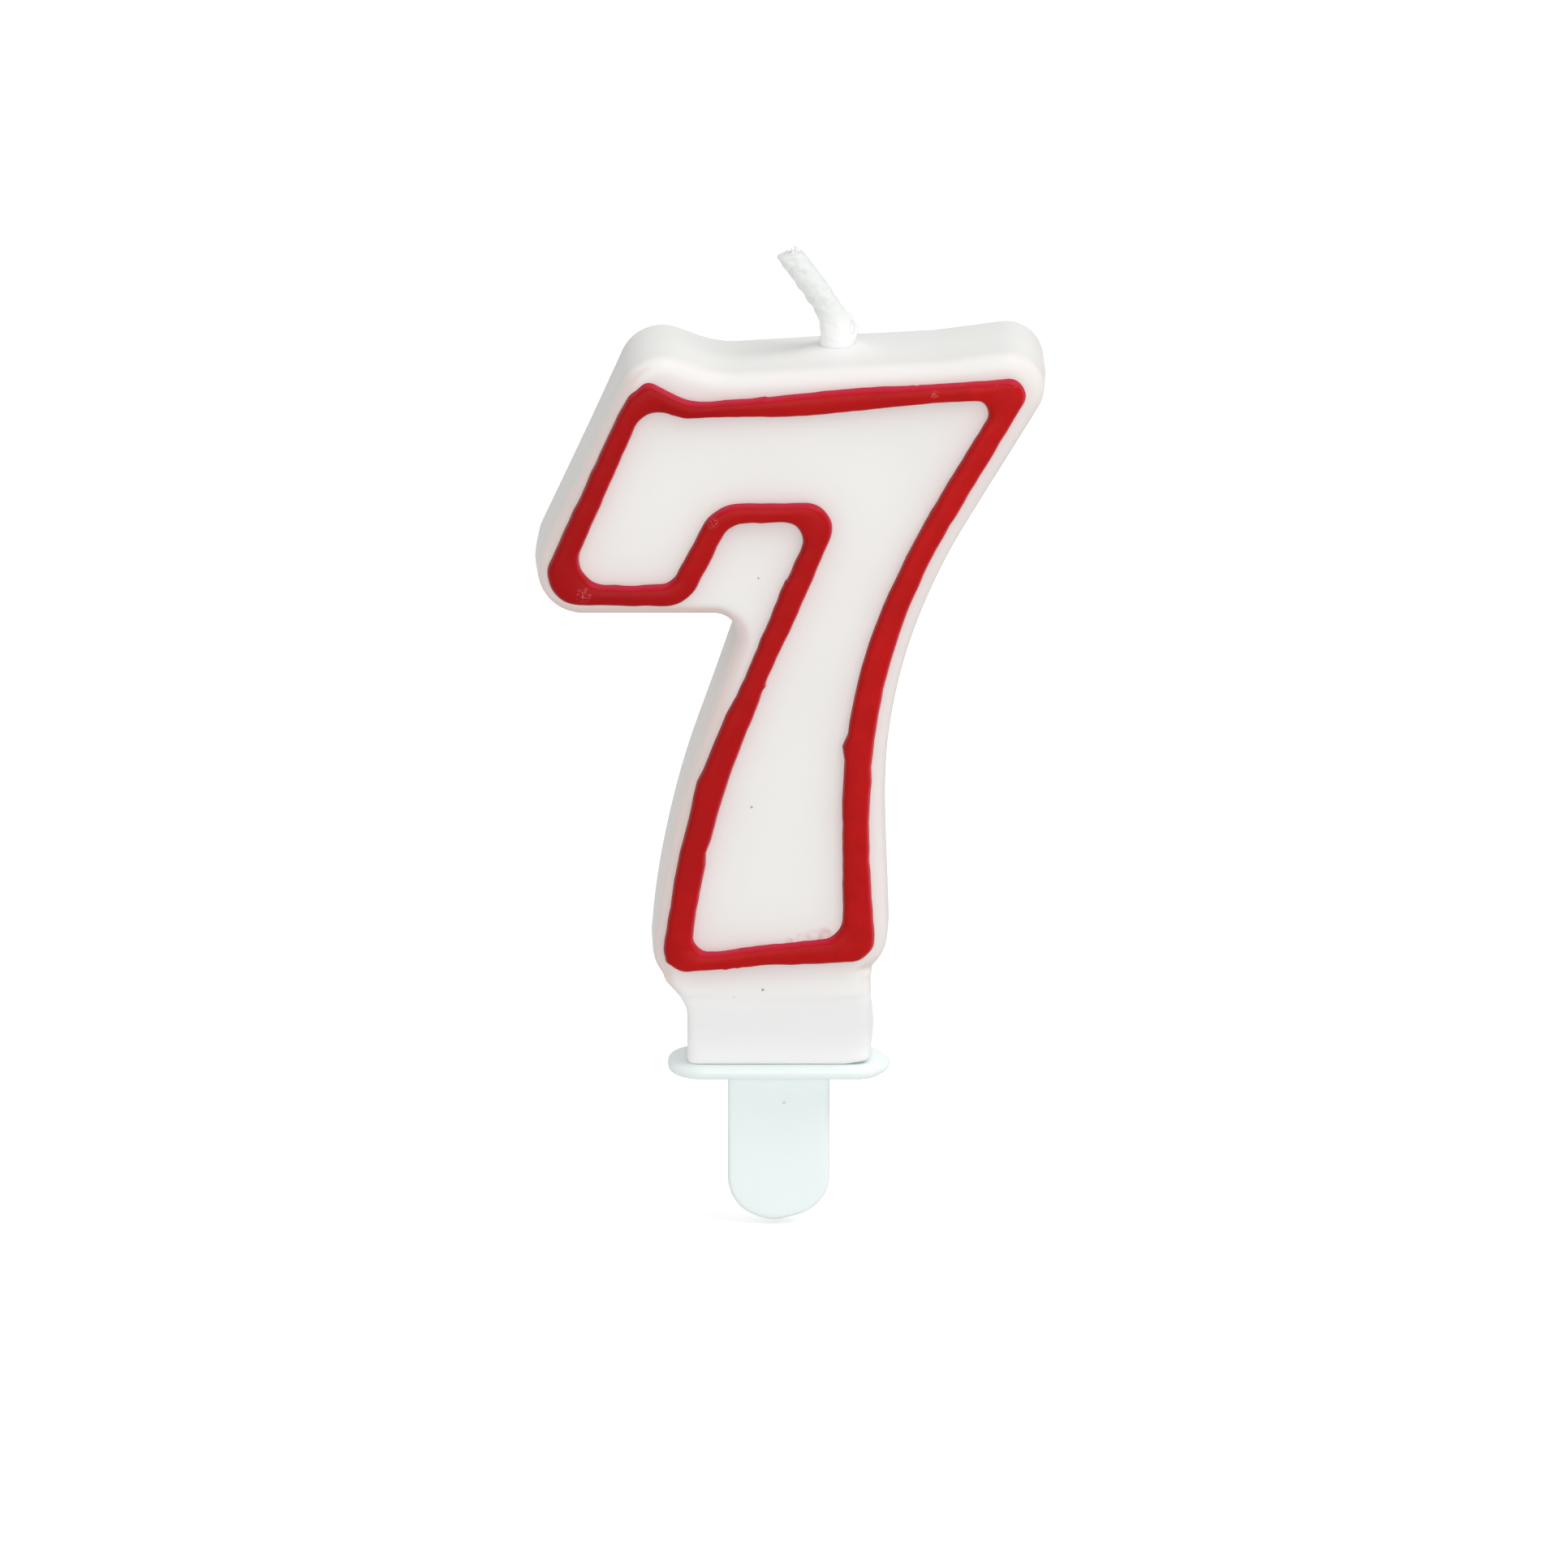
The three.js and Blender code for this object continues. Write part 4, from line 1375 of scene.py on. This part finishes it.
class CandleSizes(PropertyGroup):
    """How finely the pieces are made."""

    wax_grain: grain_property("Wax grain", "Size of the wax body's faces", 0.27 * MM)
    wick_grain: grain_property("Wick grain", "Size of the wick's faces", 0.1 * MM)
    plastic_grain: grain_property("Plastic grain", "Size of the holder's faces", 0.15 * MM)


def colour_property(name, description, default):
    """A colour that a user may change."""
    return FloatVectorProperty(
        name=name, description=description, default=default, subtype="COLOR", size=3, min=0, max=1
    )


def number_property(name, description, default):
    """A plain number that a user may change."""
    return FloatProperty(name=name, description=description, default=default, min=0)


class CandleColours(PropertyGroup):
    """Colours of the finishes."""

    wax: colour_property("Wax", "White wax", (0.87, 0.87, 0.845))
    stain: colour_property("Stain", "Wax beside the red line", (0.76, 0.62, 0.61))
    # Colour of the painted shade on the wax's edges, walls and underside
    blush: colour_property("Blush", "Wax that light reaches through the red", (0.74, 0.61, 0.575))
    # Also the colour of the painted light round the wick's root
    neck: colour_property("Neck", "The cleaner wax of the neck", (0.93, 0.94, 0.93))
    stain_strength: number_property("Stain strength", "Of the red beside the line", 0.52)
    depth: number_property("Depth", "How much of the light goes through the wax", 0.2)
    speck: colour_property("Speck", "Dust in the wax", (0.28, 0.24, 0.23))
    smear: colour_property("Smear", "Red drawn out over the wax", (0.6, 0.16, 0.2))
    thick_red: colour_property("Thick red", "Red wax where it is thick", (0.38, 0.003, 0.004))
    thin_red: colour_property("Thin red", "Red wax where it is thin", (0.52, 0.006, 0.006))
    # Colour of the painted highlight along the bead's upper and right edges
    highlight_red: colour_property("Edge red", "Red wax along its upper edges", (0.58, 0.02, 0.06))
    # Colour of the painted highlights on the scuffs
    scuff_highlight_red: colour_property("Pale red", "Scuffs on the red wax", (0.62, 0.16, 0.18))
    cotton: colour_property("Cotton", "Waxed cotton of the wick", (0.79, 0.81, 0.795))
    soaked: colour_property("Soaked cotton", "Cotton under the wax at the wick's root", (0.9, 0.91, 0.9))
    plastic: colour_property("Plastic", "Plastic of the holder", (0.87, 0.955, 0.945))
    spike_speck: colour_property("Spike speck", "Speck on the spike", (0.25, 0.3, 0.6))


class CandleStage(PropertyGroup):
    """Light and floor."""

    top_power: number_property("Top", "Power of the lamp above, in watts", 9.8)
    front_power: number_property("Front", "Power of the lamp in front, in watts", 9.2)
    left_power: number_property("Left", "Power of the lamp at the left, in watts", 1.7)
    sky: number_property("Sky", "Strength of the surroundings' light", 0.5)
    floor_lift: number_property("Floor lift", "White added to the floor as seen", 0.5)


STEPS = (
    CANDLE_OT_stage,
    CANDLE_OT_wax_body,
    CANDLE_OT_outlines,
    CANDLE_OT_wick,
    CANDLE_OT_holder,
)


class CANDLE_PT_panel(Panel):
    """Lists the steps that build the candle"""

    bl_idname = "CANDLE_PT_panel"
    bl_label = "Number candle"
    bl_space_type = "VIEW_3D"
    bl_region_type = "UI"
    bl_category = "Candle"

    def draw(self, context):
        scene = context.scene
        for group in (scene.candle_sizes, scene.candle_colours, scene.candle_stage):
            box = self.layout.box()
            for name in group.__annotations__:
                box.prop(group, name)
        for step in STEPS:
            self.layout.operator(step.bl_idname)


GROUPS = {"candle_sizes": CandleSizes, "candle_colours": CandleColours, "candle_stage": CandleStage}


def register():
    """Registers the groups, the steps and the panel."""
    for name, group in GROUPS.items():
        bpy.utils.register_class(group)
        setattr(bpy.types.Scene, name, PointerProperty(type=group))
    for step in STEPS:
        bpy.utils.register_class(step)
    bpy.utils.register_class(CANDLE_PT_panel)


def unregister():
    """Takes away what register adds."""
    bpy.utils.unregister_class(CANDLE_PT_panel)
    for step in reversed(STEPS):
        bpy.utils.unregister_class(step)
    for name, group in GROUPS.items():
        delattr(bpy.types.Scene, name)
        bpy.utils.unregister_class(group)


def main():
    """Builds the candle and its stage."""
    register()
    bpy.ops.candle.stage()
    bpy.ops.candle.wax_body()
    bpy.ops.candle.outlines()
    bpy.ops.candle.wick()
    bpy.ops.candle.holder()


if __name__ == "__main__":
    main()
